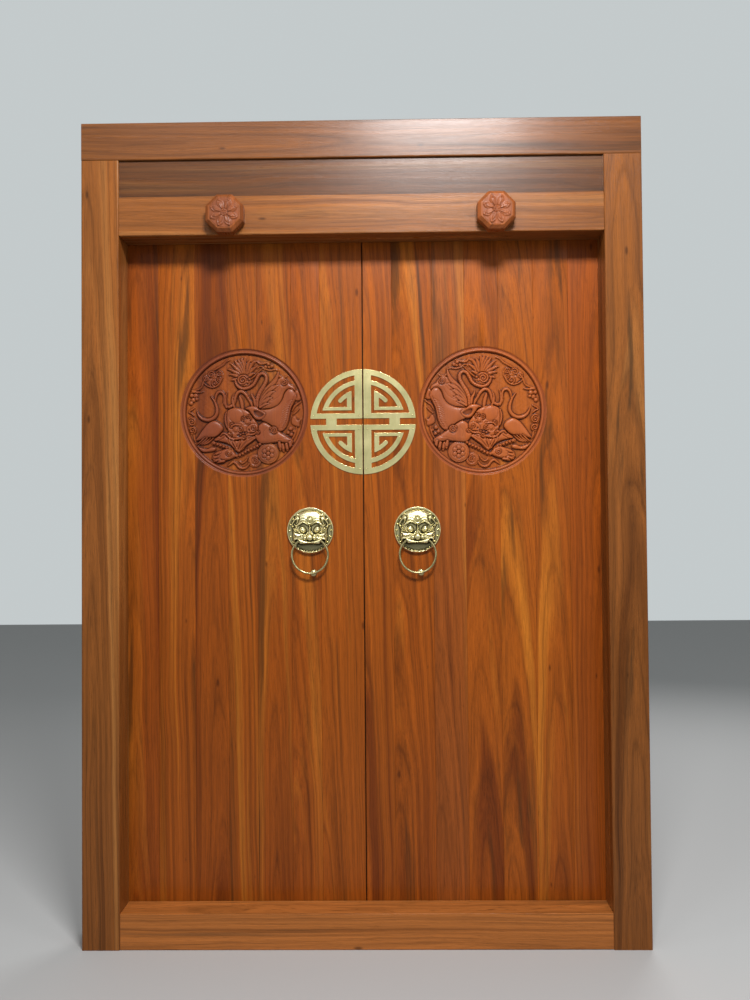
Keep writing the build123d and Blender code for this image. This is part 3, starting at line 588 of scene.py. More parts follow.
# Leaves, plain planks: the plank at each meeting edge and the outer one with its pivots,
# of elm 50 mm thick, tongued and grooved into their neighbours and lacquered as one.
leaf_colours = ((0.165, 0.034, 0.0035), (0.300, 0.070, 0.0060), (0.44, 0.132, 0.013))
# painted light: the carving's cut colour is made lighter on the right leaf and darker on the left, as the
# lamps fall more on the right
carving_painted_light = {"left": 0.84, "right": 1.28}
plank_wood = {}
# the planks differ in tone, and the left leaf's are darker on the whole than the right leaf's: partly the
# wood's own tone, partly painted light, as the lamps fall more on the right
for node, log, lean, light, red, grey in [
    ("plank_left_1", 21.3, 0.030, 0.98, 0.00, 0.00),
    ("plank_left_2", 22.9, 0.042, 0.90, 0.05, 0.00),
    ("plank_left_3", 24.1, 0.034, 0.84, 0.05, 0.00),
    ("plank_left_4", 25.6, 0.046, 0.92, 0.00, 0.00),
    ("plank_left_5", 26.2, 0.032, 0.84, 0.05, 0.00),
    ("plank_left_6", 27.8, 0.038, 0.98, 0.00, 0.00),
    ("pivot_plank_left", 28.4, 0.026, 0.86, 0.08, 0.00),
    ("plank_right_1", 31.7, 0.032, 1.04, 0.00, 0.00),
    ("plank_right_2", 32.5, 0.044, 0.94, 0.03, 0.00),
    ("plank_right_3", 33.3, 0.030, 0.92, 0.00, 0.04),
    ("plank_right_4", 34.9, 0.040, 1.04, 0.00, 0.00),
    ("plank_right_5", 35.2, 0.050, 1.10, -0.04, 0.00),
    ("plank_right_6", 36.6, 0.034, 1.02, 0.00, 0.00),
    ("pivot_plank_right", 37.9, 0.038, 0.92, 0.10, 0.00),
]:
    plank_wood[node] = lacquered_wood(
        node + "_elm", *(toned(c, light, red, grey) for c in leaf_colours), log=log, node=node,
        lean=lean, gloss=0.32, carved=carving_painted_light["left" if "left" in node else "right"])
for side in ("left", "right"):
    for node in (f"plank_{side}_1", f"pivot_plank_{side}"):
        dressed(node, "leaf_" + side, "leaf_wood", plank_wood[node], 0.0005)


# Meeting strip: a thin lath of elm coloured very dark, which is painted shade standing for the shadow in
# the gap, glued to the right leaf's meeting edge deep in the gap, so that no daylight shows between the
# closed leaves. It clears the left leaf.
gap_shade_wood = lacquered_wood(
    "gap_shade_strip_elm", (0.020, 0.007, 0.002), (0.035, 0.012, 0.004), (0.05, 0.018, 0.006),
    log=70.5, node="plank_right_1", gloss=0.5, coat=0.0)
strip_x, strip_y, strip_z = (-0.0011, 0.00155), (0.062, 0.0995), (0.0785, 1.9795)
strip_points = [(x, y, z) for x in strip_x for y in strip_y for z in strip_z]
strip_faces = [(0, 1, 3, 2), (4, 6, 7, 5), (0, 4, 5, 1), (2, 3, 7, 6), (0, 2, 6, 4), (1, 5, 7, 3)]
strip_mesh = facing_out(mesh_of("gap_shade_strip", strip_points, strip_faces, smooth=False))
place_piece("gap_shade_strip", strip_mesh, gap_shade_wood, "leaf_right", "leaf_wood")


# Medallion: a winged beast among clouds, carved 10 mm deep into the leaf after its planks
# were joined, inside a hollow and a bead. The left leaf has the mirror image of the right.
carve = CarvedRelief(168.0, 0.75)
far_x, far_y = np.meshgrid(*(np.linspace(-carve.half, carve.half, carve.side),) * 2)

# the ground keeps the shallow marks of the gouge
gouge_marks = np.sin(far_x / 2.9 + 1.4 * np.sin(far_y / 4.3)) * np.sin(far_y / 3.6 + np.sin(far_x / 5.1))
carve.height += 0.35 + 0.22 * gouge_marks

# wisps, balls and a crescent at the upper left
carve.form([(-124, 106), (-117, 97), (-108, 95), (-98, 102), (-96, 116), (-103, 106), (-112, 102)],
            2.0, 4.5, 5)
carve.stroke([(-98, 119, 1), (-88, 123, 2.2), (-74, 121, 2.6), (-60, 125, 2.6), (-46, 133, 1.8),
              (-36, 127, 1)], 2, 4.6)
carve.stroke([(-76, 146, 1), (-60, 142, 3), (-45, 141, 3.6), (-35, 148, 2.4), (-28, 142, 1)], 2, 4.6)
for bx, by, br in ((-78, 133, 5.2), (-69, 139, 4.8), (-61, 131, 4.8), (-70, 130, 4.0)):
    carve.ball(bx, by, br, 2.6, 5.6)
carve.stroke([(-52, 128, 0.8), (-40, 116, 2.2), (-30, 106, 2.6), (-20, 98, 2)], 2, 4.8)

# flaming pearl
pearl_x, pearl_y = 2, 92
for tip_x, tip_y, bend, half in (
    (-40, 132, -6, 3.2), (-33, 150, -5, 3.6), (-17, 150, -4, 3.8), (-3, 158, -3, 4.0),
    (10, 159, 3, 4.0), (20, 154, 4, 3.8), (31, 152, 5, 3.6), (43, 142, 6, 3.4),
    (50, 124, 7, 3.4), (46, 108, 6, 3.2), (40, 92, 4, 3.0), (-30, 112, -4, 3.0),
):
    mx, my = (tip_x + pearl_x) / 2, (tip_y + pearl_y) / 2
    run = math.hypot(tip_x - pearl_x, tip_y - pearl_y)
    ox, oy = bend * (tip_y - pearl_y) / run, -bend * (tip_x - pearl_x) / run
    carve.stroke([(pearl_x, pearl_y, 1.2 * half), (mx - ox, my - oy, 1.5 * half),
                  (0.25 * mx + 0.75 * tip_x - 0.7 * ox, 0.25 * my + 0.75 * tip_y - 0.7 * oy, half),
                  (tip_x, tip_y, 0.3)], 1.6, 5.2)
    carve.score([(pearl_x, pearl_y), (mx - ox, my - oy), (tip_x, tip_y)], 0.9, 0.7)
carve.ball(pearl_x, pearl_y - 1, 19, 2.5, 5.5)
carve.coil(5, 93, 15, 4.8, 7.4, turns=1.9, start=2.6, hand=-1)
carve.ball(-9, 88, 4.5, 4.0, 6.6)
carve.ball(-14, 96, 3.6, 4.0, 6.0)

# cloud and wisps at the upper right
carve.stroke([(40, 152, 1), (52, 148, 2.6), (62, 138, 2.8), (76, 130, 2.6), (90, 122, 1.5)], 1.6, 4.4)
carve.form([(60, 110), (66, 116), (76, 121), (88, 117), (100, 116), (114, 110), (120, 100), (114, 92),
            (106, 84), (96, 76), (80, 77), (70, 86), (66, 98)], 1.6, 4.2, 6)
for bx, by, br, start, hand in ((73, 112, 9, 0.5, 1), (95, 110, 10, 2.5, -1), (85, 86, 10, 4.0, 1),
                                (110, 99, 8, 1.0, -1), (72, 97, 7, 5.0, 1)):
    carve.coil(bx, by, br, 4.0, 6.8, turns=1.4, start=start, hand=hand)
carve.stroke([(62, 104, 1), (68, 92, 2.2), (76, 80, 2.4), (90, 74, 2.4), (106, 78, 2.0), (118, 88, 1)],
              2, 5.2)

# scrolls along the right rim
carve.stroke([(108, 104, 1), (118, 90, 2.5), (124, 74, 2.5), (138, 66, 2.5), (152, 64, 1.5)], 1.6, 4.4)
carve.stroke([(118, 62, 1), (132, 60, 3), (146, 61, 3), (156, 58, 1)], 2, 5)
for bx, by, br in ((140, 50, 7), (152, 51, 6), (147, 38, 6.5), (154, 29, 6), (137, 40, 4.5)):
    carve.ball(bx, by, br, 2.2, 5.8)
carve.stroke([(142, 16, 1), (152, 10, 2.6), (160, 4, 1.8), (150, -2, 2.4), (144, -8, 1)], 2, 5)
carve.coil(152, -25, 12, 3.2, 6.2, turns=1.7, start=1.0)
carve.coil(150, -49, 10, 3.2, 6.2, turns=1.5, start=4.2, hand=-1)
carve.stroke([(146, -62, 2), (144, -74, 2.4), (140, -82, 1)], 2, 4.6)

# left rim: tail tip, wisps and balls
carve.form([(-166, 42), (-160, 56), (-150, 64), (-142, 60), (-136, 48), (-140, 38), (-152, 33),
            (-160, 36)], 2.2, 5.6, 7)
for shift in (-8, 0, 8):
    carve.score([(-150 + shift * 0.6, 60), (-150 + shift, 48), (-151 + shift * 1.1, 36)], 1.0, 0.9)
carve.stroke([(-164, 32, 1), (-154, 25, 2.6), (-144, 18, 2.8), (-136, 4, 1.4)], 1.8, 4.6)
carve.stroke([(-158, 12, 0.8), (-148, 2, 2.4), (-138, -6, 1.6)], 1.8, 4.4)
carve.form([(-161, -18), (-152, -22), (-144, -10), (-136, -16), (-134, -30), (-142, -38), (-156, -42),
            (-158, -30)], 2.0, 5.2, 6)
for bx, by, br in ((-131, -47, 5.5), (-124, -58, 5.0), (-133, -64, 5.0), (-141, -54, 4.0)):
    carve.ball(bx, by, br, 2.2, 5.4)
carve.stroke([(-148, -42, 1), (-146, -54, 2.2), (-140, -70, 2.4), (-132, -82, 1.2)], 1.8, 4.4)

# hindquarters and wing behind the back
carve.form([(-146, 62), (-142, 74), (-130, 82), (-122, 94), (-112, 99), (-98, 97), (-90, 88), (-82, 72),
            (-70, 54), (-58, 36), (-46, 20), (-40, 11), (-62, 11), (-82, 13), (-98, 22), (-108, 38),
            (-113, 54), (-120, 64), (-132, 66)], 3.2, 7.2, 15)
carve.coil(-113, 86, 9.5, 5.4, 7.6, turns=1.5, start=2.0)
carve.score([(-108, 62), (-98, 46), (-84, 36), (-68, 30)], 0.9, 1.0)
carve.score([(-104, 74), (-92, 58), (-78, 46), (-62, 38)], 0.9, 1.0)
for base, top, feather in (
    (3.0, 7.0, [(-98, 122, 0.5), (-95, 106, 4.0), (-87, 90, 6.4), (-75, 76, 7.4), (-61, 62, 7.4),
                (-48, 44, 6.4), (-38, 18, 3)]),
    (3.6, 7.6, [(-99, 78, 0.5), (-88, 74, 4.4), (-75, 66, 6.4), (-62, 52, 6.8), (-50, 36, 6.2),
                (-38, 18, 3)]),
    (4.2, 8.2, [(-88, 60, 0.5), (-77, 57, 4.4), (-67, 48, 6.2), (-56, 35, 6.2), (-40, 18, 3)]),
    (4.8, 8.7, [(-80, 41, 0.5), (-70, 40, 4.0), (-59, 31, 5.6), (-43, 17, 3.4)]),
    (5.2, 9.0, [(-72, 26, 0.8), (-60, 24, 4.0), (-44, 15, 3.2)]),
):
    carve.stroke(feather, base, top)
    spine_of = [(x, y) for x, y, _ in feather]
    carve.score(spine_of, 1.6, 1.0)
    carve.score([(x + 3.0, y + 2.2) for x, y in spine_of[1:]], 1.1, 0.8)

# looped spine that rises from the neck and winds under the pearl
spine = [(-35, 16, 4.6), (-36, 36, 5.4), (-43, 56, 5.8), (-54, 74, 5.6), (-62, 90, 5.2), (-62, 104, 4.8),
         (-53, 112, 4.6), (-42, 108, 4.6), (-34, 95, 4.6), (-26, 81, 4.6), (-12, 72, 4.6), (3, 69, 4.6),
         (16, 74, 4.4), (24, 84, 3.8), (27, 95, 2.4)]
carve.stroke(spine, 3.4, 7.8)
spine_path = flowing(spine, cuts=8)
for i in range(3, len(spine_path) - 3, 3):
    here, ahead = spine_path[i], spine_path[i + 1]
    run = math.hypot(ahead[0] - here[0], ahead[1] - here[1])
    nx = -(ahead[1] - here[1]) / run * here[2] * 0.95
    ny = (ahead[0] - here[0]) / run * here[2] * 0.95
    carve.score([(here[0] - nx, here[1] - ny), (here[0] + nx, here[1] + ny)], 0.8, 0.75)

# ribbon and mane tufts over the head
carve.stroke([(-17, 26, 2), (-12, 38, 3.6), (-4, 52, 4.4), (8, 61, 4.6), (19, 58, 4.6), (26, 46, 4.4),
              (29, 32, 4.2), (36, 21, 4.4), (47, 17, 4.4), (56, 24, 3.4), (61, 34, 1.4)], 2.8, 6.8)
for tuft in (
    [(-30, 18, 3), (-28, 36, 4), (-22, 48, 3), (-20, 58, 0.8)],
    [(-22, 18, 3), (-18, 30, 3.6), (-13, 38, 2.4), (-12, 46, 0.8)],
    [(28, 12, 3), (34, 30, 3.4), (34, 44, 2.6), (30, 54, 0.8)],
    [(6, 12, 4), (8, 28, 5), (12, 42, 4), (14, 50, 1)],
    [(52, 16, 3), (56, 34, 3.6), (54, 48, 2.8), (50, 60, 0.8)],
):
    carve.stroke(tuft, 2.6, 6.2)
    carve.score([p[:2] for p in tuft], 0.8, 0.7)

# body: chest at the left, flank at the right
carve.form([(-144, 58), (-136, 66), (-124, 66), (-114, 52), (-108, 36), (-97, 22), (-80, 13), (-60, 9),
            (-40, 10), (-24, 14), (-26, 0), (-42, -18), (-56, -26), (-72, -34), (-87, -46), (-101, -55),
            (-115, -47), (-125, -28), (-129, -8), (-134, 12), (-143, 30), (-149, 45)], 4.2, 9.2, 21)
for rib in range(13):
    lx, ly = np.interp(rib, (0, 3, 6, 9, 12), (-111, -123, -128, -131, -141)), -46 + 6.6 * rib
    carve.score([(lx + 1, ly + 3), (lx + 10, ly), (lx + 20, ly - 7)], 1.2, 1.2)
carve.stroke([(-146, 48, 1), (-139, 30, 2.2), (-131, 12, 2.4), (-126, -8, 2.4), (-121, -28, 2.4),
              (-109, -46, 1.2)], 5.0, 8.0, moat=1.0)
carve.stroke([(61, 34, 1.2), (58, 46, 3.0), (62, 57, 3.8), (70, 61, 4.0), (78, 57, 3.8), (83, 45, 3.0),
              (84, 32, 1.2)], 2.0, 6.4)
carve.stroke([(98, 50, 0.8), (90, 40, 2.6), (83, 26, 3.8), (79, 10, 4.4), (81, -4, 4.8), (90, -15, 5.2),
              (104, -20, 5.4), (119, -17, 5.0), (130, -8, 4.0), (138, 8, 1.0)], 2.0, 7.0)
carve.score([(92, 36), (84, 20), (83, 2), (92, -9), (105, -14), (119, -11), (131, -1)], 1.0, 0.9)
carve.score([(88, 34), (79, 18), (77, 2), (85, -14)], 0.7, 0.7)
carve.form([(62, -46), (66, -34), (74, -27), (88, -22), (106, -31), (122, -50), (134, -68), (140, -79),
            (124, -76), (112, -73), (98, -70), (86, -69), (72, -60)], 4.0, 9.0, 14)
for dx in (0, 8, 16, 24):
    carve.stroke([(90 + dx, -72 + 0.1 * dx, 1.2), (104 + dx * 0.9, -84 + 0.15 * dx, 2.6),
                  (118 + 0.8 * dx, -90, 1)], 2.6, 6.2)
carve.form([(84, -100), (96, -98), (108, -103), (120, -100), (134, -95), (146, -88), (148, -96),
            (134, -106), (118, -112), (100, -111), (86, -108)], 2.8, 6.8, 6)
for toe in range(4):
    carve.score([(112 + 8 * toe, -98 + 2.5 * toe), (117 + 8 * toe, -110 + 3 * toe)], 1.2, 0.8)

# beard, with its beaded edge
carve.form([(-46, -80), (-40, -68), (-24, -66), (0, -74), (20, -80), (44, -72), (58, -58), (70, -63),
            (88, -78), (74, -81), (60, -84), (46, -89), (34, -99), (25, -109), (16, -113), (6, -106),
            (-6, -94), (-20, -84), (-34, -74)], 3.6, 8.0, 9)
for lock in (
    [(-34, -70, 2), (-22, -78, 3), (-8, -88, 3), (4, -98, 2), (12, -108, 0.8)],
    [(-10, -74, 2), (0, -82, 3), (9, -92, 3), (16, -104, 1)],
    [(14, -80, 2), (17, -90, 3.2), (20, -100, 2.4), (20, -110, 0.8)],
    [(34, -78, 2), (30, -88, 3), (25, -98, 2.4), (22, -108, 0.8)],
    [(44, -74, 2), (42, -84, 3), (34, -94, 2), (28, -102, 0.8)],
    [(56, -64, 2), (64, -70, 3), (74, -76, 2.2), (84, -79, 0.8)],
):
    carve.stroke(lock, 4.4, 8.4)
beard_edge = flowing([
    (-46, -89), (-34, -97), (-24, -101), (-14, -106), (-4, -111), (6, -117), (16, -122), (24, -123),
    (32, -117), (38, -108), (46, -102), (56, -98), (66, -94), (76, -90), (90, -86)])
carve.stroke([(x, y, 6.0) for x, y in beard_edge[::6]], 1.8, 4.2)
lengths = np.concatenate([[0], np.cumsum(np.hypot(*np.diff(beard_edge, axis=0).T))])
for spot in np.arange(3.0, lengths[-1] - 1, 9.4):
    carve.ball(np.interp(spot, lengths, beard_edge[:, 0]), np.interp(spot, lengths, beard_edge[:, 1]),
               4.5, 3.4, 8.8, moat=1.4)

# coins and the ribbon between them
carve.ball(-28, -138, 18.5, 2.0, 5.2)
carve.ball(-28, -138, 15.0, 4.2, 4.8, moat=1.0)
carve.coil(-30, -138, 9, 4.6, 6.6, turns=1.5, start=1.0)
carve.ball(-67, -117, 30, 3.0, 7.0, moat=1.8)
carve.ball(-67, -117, 25.5, 5.0, 6.0, moat=1.0)
for petal in range(6):
    turn = math.radians(60 * petal + 30)
    carve.ball(-67 + 12.5 * math.cos(turn), -117 + 12.5 * math.sin(turn), 6.6, 5.8, 8.0, moat=0.9)
carve.ball(-67, -117, 5.6, 6.0, 8.2, moat=0.9)
carve.stroke([(-12, -146, 2), (-4, -156, 3.4), (8, -159, 3.8), (18, -154, 3.8), (25, -145, 3.6),
              (34, -141, 3.4), (42, -147, 2.8), (50, -153, 1)], 2.0, 5.2)
carve.stroke([(-8, -128, 1.2), (-2, -138, 2.6), (8, -144, 2.6), (16, -138, 1.6)], 1.8, 4.4)

# near foreleg with its curl, and its paw
carve.form([(-56, -28), (-78, -40), (-98, -54), (-116, -66), (-137, -80), (-134, -92), (-118, -88),
            (-100, -85), (-75, -87), (-50, -89), (-36, -80), (-29, -62), (-38, -40)], 4.8, 9.6, 13)
carve.coil(-83, -52, 10.5, 7.6, 9.8, turns=1.8, start=0.4)
carve.score([(-64, -44), (-54, -58), (-56, -74)], 0.9, 1.0)
carve.score([(-118, -74), (-100, -76), (-82, -80)], 0.8, 0.9)
for tx, ty in ((-131, -98), (-121, -103), (-110, -104), (-101, -99)):
    carve.stroke([(tx + 2, ty + 12, 4.4), (tx, ty + 2, 5.0), (tx - 1, ty - 6, 3.4)], 3.6, 8.4)
    carve.stroke([(tx - 1, ty - 6, 1.8), (tx - 2, ty - 11, 0.6)], 3.0, 6.0)

# far forepaw
carve.form([(30, -112), (40, -106), (52, -103), (66, -107), (80, -111), (91, -121), (92, -134),
            (82, -142), (64, -139), (48, -135), (34, -130), (24, -123)], 4.0, 9.2, 10)
for toe, (tx, ty) in enumerate(((84, -117), (88, -127), (84, -136), (73, -139))):
    carve.stroke([(tx - 14, ty + 4 - toe, 3.2), (tx - 4, ty, 4.2), (tx + 3, ty - 2, 2.6)], 5.2, 9.4)
    carve.stroke([(tx + 3, ty - 2, 1.6), (tx + 8, ty - 5, 0.5)], 3.4, 6.4)
carve.coil(46, -117, 7.5, 7.4, 9.6, turns=1.5, start=3.0)

# head: ear, brow, eyes, nose and jaws
carve.form([(-24, -14), (-14, 0), (-2, 8), (18, 14), (36, 13), (49, 5), (53, -12), (52, -32), (48, -48),
            (41, -62), (30, -73), (6, -78), (-18, -69), (-37, -55), (-39, -39), (-33, -26)],
            4.6, 8.2, 13)
carve.form([(-61, -3), (-51, 4), (-41, 11), (-30, 18), (-15, 18), (-2, 11), (-12, 6), (-22, -8),
            (-32, -19), (-46, -21), (-57, -13)], 5.2, 9.7, 9)
# the inside of the ear is marked dark: painted shade in its hollow
carve.form([(-55, -5), (-46, 1), (-36, 5), (-27, 4), (-30, -6), (-40, -13), (-50, -11)],
            6.6, 5.4, 5, dark=0.5)
carve.stroke([(52, 2, 2), (55, -12, 3), (54, -28, 3), (50, -42, 2)], 4.6, 8.2)
carve.ball(24, -8, 21, 6.6, 9.8, moat=0.6)
for curl_x, curl_y, size, start, hand in (
    (-14, -15, 7.5, 0.6, 1), (2, -19, 7.0, 2.2, -1), (36, -36, 7.0, 4.4, 1),
    (12, -50, 7.0, 1.4, 1), (-38, -58, 6.0, 3.0, -1),
):
    carve.coil(curl_x, curl_y, size, 6.8, 9.6, turns=1.5, start=start, hand=hand)
carve.ball(-8, -27, 9.0, 5.8, 8.4)
carve.ball(-8, -27, 5.6, 7.6, 9.8, moat=1.1)
carve.score([(-11, -28), (-8, -26), (-5, -28)], 0.9, 0.8)
carve.stroke([(10, -36, 2), (20, -35, 3), (32, -36, 3), (40, -44, 2)], 6.4, 9.6)
carve.ball(25, -48, 9.8, 5.8, 8.4)
carve.ball(25, -48, 6.2, 7.6, 9.8, moat=1.1)
carve.score([(21, -50), (25, -47), (29, -50)], 0.9, 0.8)
carve.form([(-37, -38), (-28, -33), (-16, -34), (-7, -42), (-6, -52), (-16, -58), (-30, -55),
            (-37, -48)], 6.2, 9.8, 8)
carve.coil(-27, -44, 7.0, 7.2, 9.9, turns=1.4, start=2.4)
# the nostril and the mouth are marked dark: painted shade in these pits
carve.ball(-13, -50, 2.4, 7.4, 6.4, dark=0.3)
carve.stroke([(-36, -54, 2), (-26, -62, 3), (-12, -63, 3.2), (2, -67, 3.4), (14, -73, 3.2), (28, -75, 3),
              (42, -70, 2)], 5.6, 9.2)
carve.form([(-8, -56), (4, -55), (16, -60), (22, -66), (10, -69), (-2, -64)], 5.4, 4.6, 4, dark=0.7)
for fang_x, fang_y in ((-4, -59), (4, -60), (12, -63)):
    carve.ball(fang_x, fang_y, 2.4, 5.4, 7.8, moat=0.7)
carve.coil(3, -71, 6, 6.6, 9.0, turns=1.4, start=0.5)
carve.coil(44, -64, 7, 6.0, 9.0, turns=1.5, start=2.4)
carve.stroke([(30, -78, 2), (42, -72, 3), (52, -62, 3.2), (62, -59, 3), (70, -66, 1.4)], 5.0, 8.8)

ground_depth, ground_reach = 10.0, 167.0
carve.height = np.clip(softened(carve.height, 0.75), -0.6, ground_depth)
carve.height *= np.clip((ground_reach - np.hypot(far_x, far_y)) / 2.5, 0, 1)
# painted shade, with some pooled lacquer: the carving is darkened where it lies below its surroundings,
# along its outlines and in the forms marked dark
carving_shade_and_lacquer = np.clip(
    0.95 * carve.hollows(2.4, 1.8) + 0.80 * carve.hollows(6.0, 4.5) - 0.10 + carve.dark, 0, 1)


def carving_depth(x, z):
    """Millimetres cut away from the leaf's face, measured from the medallion's middle."""
    reach = np.hypot(x, z)
    rim = np.interp(
        reach,
        [0, 167, 168.2, 169.6, 171.2, 172.6, 174.2, 175.8, 177.2, 178.6, 180.8, 182.2, 183.2, 999],
        [10, 10, 6.0, 2.6, 1.1, 0.9, 1.2, 2.4, 4.0, 4.3, 2.9, 1.2, 0, 0])
    return np.where(reach < ground_reach, ground_depth - carve.sample(carve.height, x, z), rim)


# Leaves, carved planks: five on each leaf share the medallion. They are 50 mm thick, joined
# with tongues and grooves, and their backs have dovetailed ways for the battens.
leaf_front, leaf_back, leaf_bottom, leaf_top = 51.0, 101.0, 78.0, 1980.0
medallion_x, medallion_z, medallion_reach = 338.8, 1477.0, 184.0
plank_arris = 0.8
tongue_front, tongue_back, tongue_out = 66.0, 76.0, 10.0
joint_play = 0.2
fine_step = 1.08
batten_z = [268.0 + i * 1522.0 / 3 for i in range(4)]
dovetail_foot, dovetail_neck, dovetail_deep = 22.2, 18.2, 16.0


def stations(low, high, middle):
    """Places from low to high, close together where the medallion is and nowhere else."""
    first, last = max(low, middle - medallion_reach), min(high, middle + medallion_reach)
    fine = np.linspace(first, last, max(2, int(round((last - first) / fine_step)) + 1))
    return np.unique(np.concatenate([[low], fine, [high]]).round(4))


def carved_plank(node, side, inner, outer):
    """A plank between two seams, which are measured from the door's middle line."""
    columns = stations(inner + plank_arris, outer - plank_arris, medallion_x)
    groove = inner + tongue_out + joint_play
    soft = 0.3 * plank_arris
    section = [(inner, leaf_back), (inner, tongue_back + joint_play),
               (groove, tongue_back + joint_play), (groove, tongue_front - joint_play),
               (inner, tongue_front - joint_play), (inner, leaf_front + plank_arris),
               (inner + soft, leaf_front + soft)]
    first = len(section)
    section += [(x, leaf_front) for x in columns]
    last = len(section)
    section += [(outer - soft, leaf_front + soft), (outer, leaf_front + plank_arris),
                (outer, tongue_front), (outer + tongue_out, tongue_front),
                (outer + tongue_out, tongue_back), (outer, tongue_back), (outer, leaf_back)]
    section = np.array(section)
    count = len(section)

    rows = stations(leaf_bottom, leaf_top, medallion_z)
    turns = np.array([z + s * (dovetail_foot + o) for z in batten_z for s in (-1, 1) for o in (-0.4, 0.4)])
    rows = rows[np.abs(rows[:, None] - turns[None, :]).min(axis=1) > 0.45]
    rows = np.sort(np.concatenate([rows, turns, [leaf_bottom + plank_arris, leaf_top - plank_arris]]))
    x = np.tile(section[:, 0], (len(rows), 1))
    y = np.tile(section[:, 1], (len(rows), 1))
    z = np.tile(rows[:, None], (1, count))
    depth = carving_depth(x - medallion_x, z - medallion_z)
    face = np.zeros(count, bool)
    face[first - 2:last + 2] = True
    y = np.where(face[None, :], np.maximum(y, leaf_front + depth), y)
    for middle in batten_z:
        for i, row in enumerate(rows):
            off = row - middle
            if abs(off) < dovetail_foot:
                y[i, [0, -1]] = leaf_back - dovetail_deep
                z[i, [0, -1]] = middle + np.clip(off * 1.02, -dovetail_foot, dovetail_foot)
            elif abs(off) < dovetail_foot + 0.6:
                z[i, [0, -1]] = middle + math.copysign(dovetail_neck, off)

    faces = [
        (r * count + c, r * count + (c + 1) % count, (r + 1) * count + (c + 1) % count, (r + 1) * count + c)
        for r in range(len(rows) - 1) for c in range(count)
    ]
    faces.append(tuple(range(count))[::-1])
    faces.append(tuple((len(rows) - 1) * count + c for c in range(count)))
    sign = 1
    if side == "left":
        sign, faces = -1, [f[::-1] for f in faces]
    cut = (depth > 0.02) & face[None, :]
    hollow = np.where(cut, carve.sample(carving_shade_and_lacquer, x - medallion_x, z - medallion_z), 0)
    reach = np.hypot(x - medallion_x, z - medallion_z)
    # the hollow and bead at the rim are darker the deeper they are cut: painted shade
    hollow = np.where(cut & (reach > 166), np.clip(depth / 9.0 - 0.1, 0, 0.9), hollow)
    redness = np.where(cut, np.clip(0.35 + 0.11 * (9.5 - depth), 0.35, 1.0), 0.0)
    places = np.column_stack([sign * x.ravel(), y.ravel(), z.ravel()]) / 1000
    mesh = mesh_of(node + "_carved", places, faces, hollow=hollow.ravel(), cut=redness.ravel())
    smooth = np.zeros(len(mesh.polygons), bool)
    per_row = np.zeros(count, bool)
    per_row[first - 2:last + 1] = True
    smooth[:-2] = np.tile(per_row, len(rows) - 1)
    mesh.polygons.foreach_set("use_smooth", smooth)
    mesh.set_sharp_from_angle(angle=math.radians(80))
    place_piece(node + "_carved", mesh, plank_wood[node], "leaf_" + side, "leaf_wood", node)


for side, seams in (
    ("left", (122.0, 205.0, 303.0, 386.0, 480.0, 584.0)),
    ("right", (84.0, 198.0, 290.0, 387.0, 486.0, 585.0)),
):
    for i, (inner, outer) in enumerate(zip(seams, seams[1:])):
        carved_plank(f"plank_{side}_{i + 2}", side, inner, outer)


# Battens and bolt: on the leaves' backs, of the same oiled elm as the pivot beam. The
# battens slide in their dovetails; the bolt's bar runs in two guides and a keeper.
for node, body, grain, log in [
    *((f"batten_{side}_{i + 1}", "leaf_" + side, "level", 40.3 + 1.7 * i + 9 * (side == "left"))
      for side in ("left", "right") for i in range(4)),
    ("bolt_guide_1", "leaf_left", "upright", 60.1),
    ("bolt_guide_2", "leaf_left", "upright", 61.9),
    ("bolt_keeper", "leaf_right", "upright", 63.2),
    ("bolt_bar", "bolt", "level", 64.8),
    ("bolt_peg", "bolt", "upright", 66.0),
]:
    oiled(node, body, grain, log, 0.0009)


# Roundel: a pierced longevity fret of 2 mm sheet brass in two half plates, sawn out,
# filed smooth, brushed, and nailed to the leaves with small round-headed brass nails.
def brass(name, colour, patina, rough, wave, brushed=(1.0, 1.0, 1.0)):
    """Yellow brass, bright on its high places and dark where polish doesn't reach; on the masks that dark
    also carries painted shade in the eye hollows and in the ring's room behind the lip.
    """
    material, tree, shader = new_material(name)
    place = put(tree, "TexCoord").outputs["Object"]
    tarnish = noise_at(tree, place, 24.0, 4.0, 0.6)["Fac"]
    lines_at = put(tree, "Mapping", Vector=place, Scale=brushed).outputs[0]
    lines = noise_at(tree, lines_at, 420.0, 3.0)["Fac"]
    tone = blend(tree, "MIX", ramp(tree, tarnish, [(0.35, 0.0), (0.72, 0.80)]), colour,
                 tuple(c * s for c, s in zip(colour, (0.72, 0.74, 0.66))))
    hollow = put(tree, "Attribute", {"attribute_name": "hollow"}).outputs["Fac"]
    tone = blend(tree, "MIX", hollow, tone, patina)
    rub = remap(tree, lines, rough - 0.02, rough + 0.03, 0.3, 0.7)
    dull = calculate(tree, "Math", "MULTIPLY_ADD", hollow, 0.35, rub)[0]
    sway = noise_at(tree, place, wave, 1.0)["Fac"]
    bump = put(tree, "Bump", Strength=0.6, Distance=0.11 / wave, Height=sway)
    feed(tree, shader, Base_Color=tone, Metallic=1.0, Roughness=dull, Normal=bump.outputs["Normal"])
    return material


sheet_brass = brass("sheet_brass", (0.90, 0.77, 0.38), (0.16, 0.14, 0.07), 0.24, 7.0, (1.0, 1.0, 0.08))
for side in ("left", "right"):
    dressed("roundel_" + side, "leaf_" + side, "brass", sheet_brass, 0.0004)


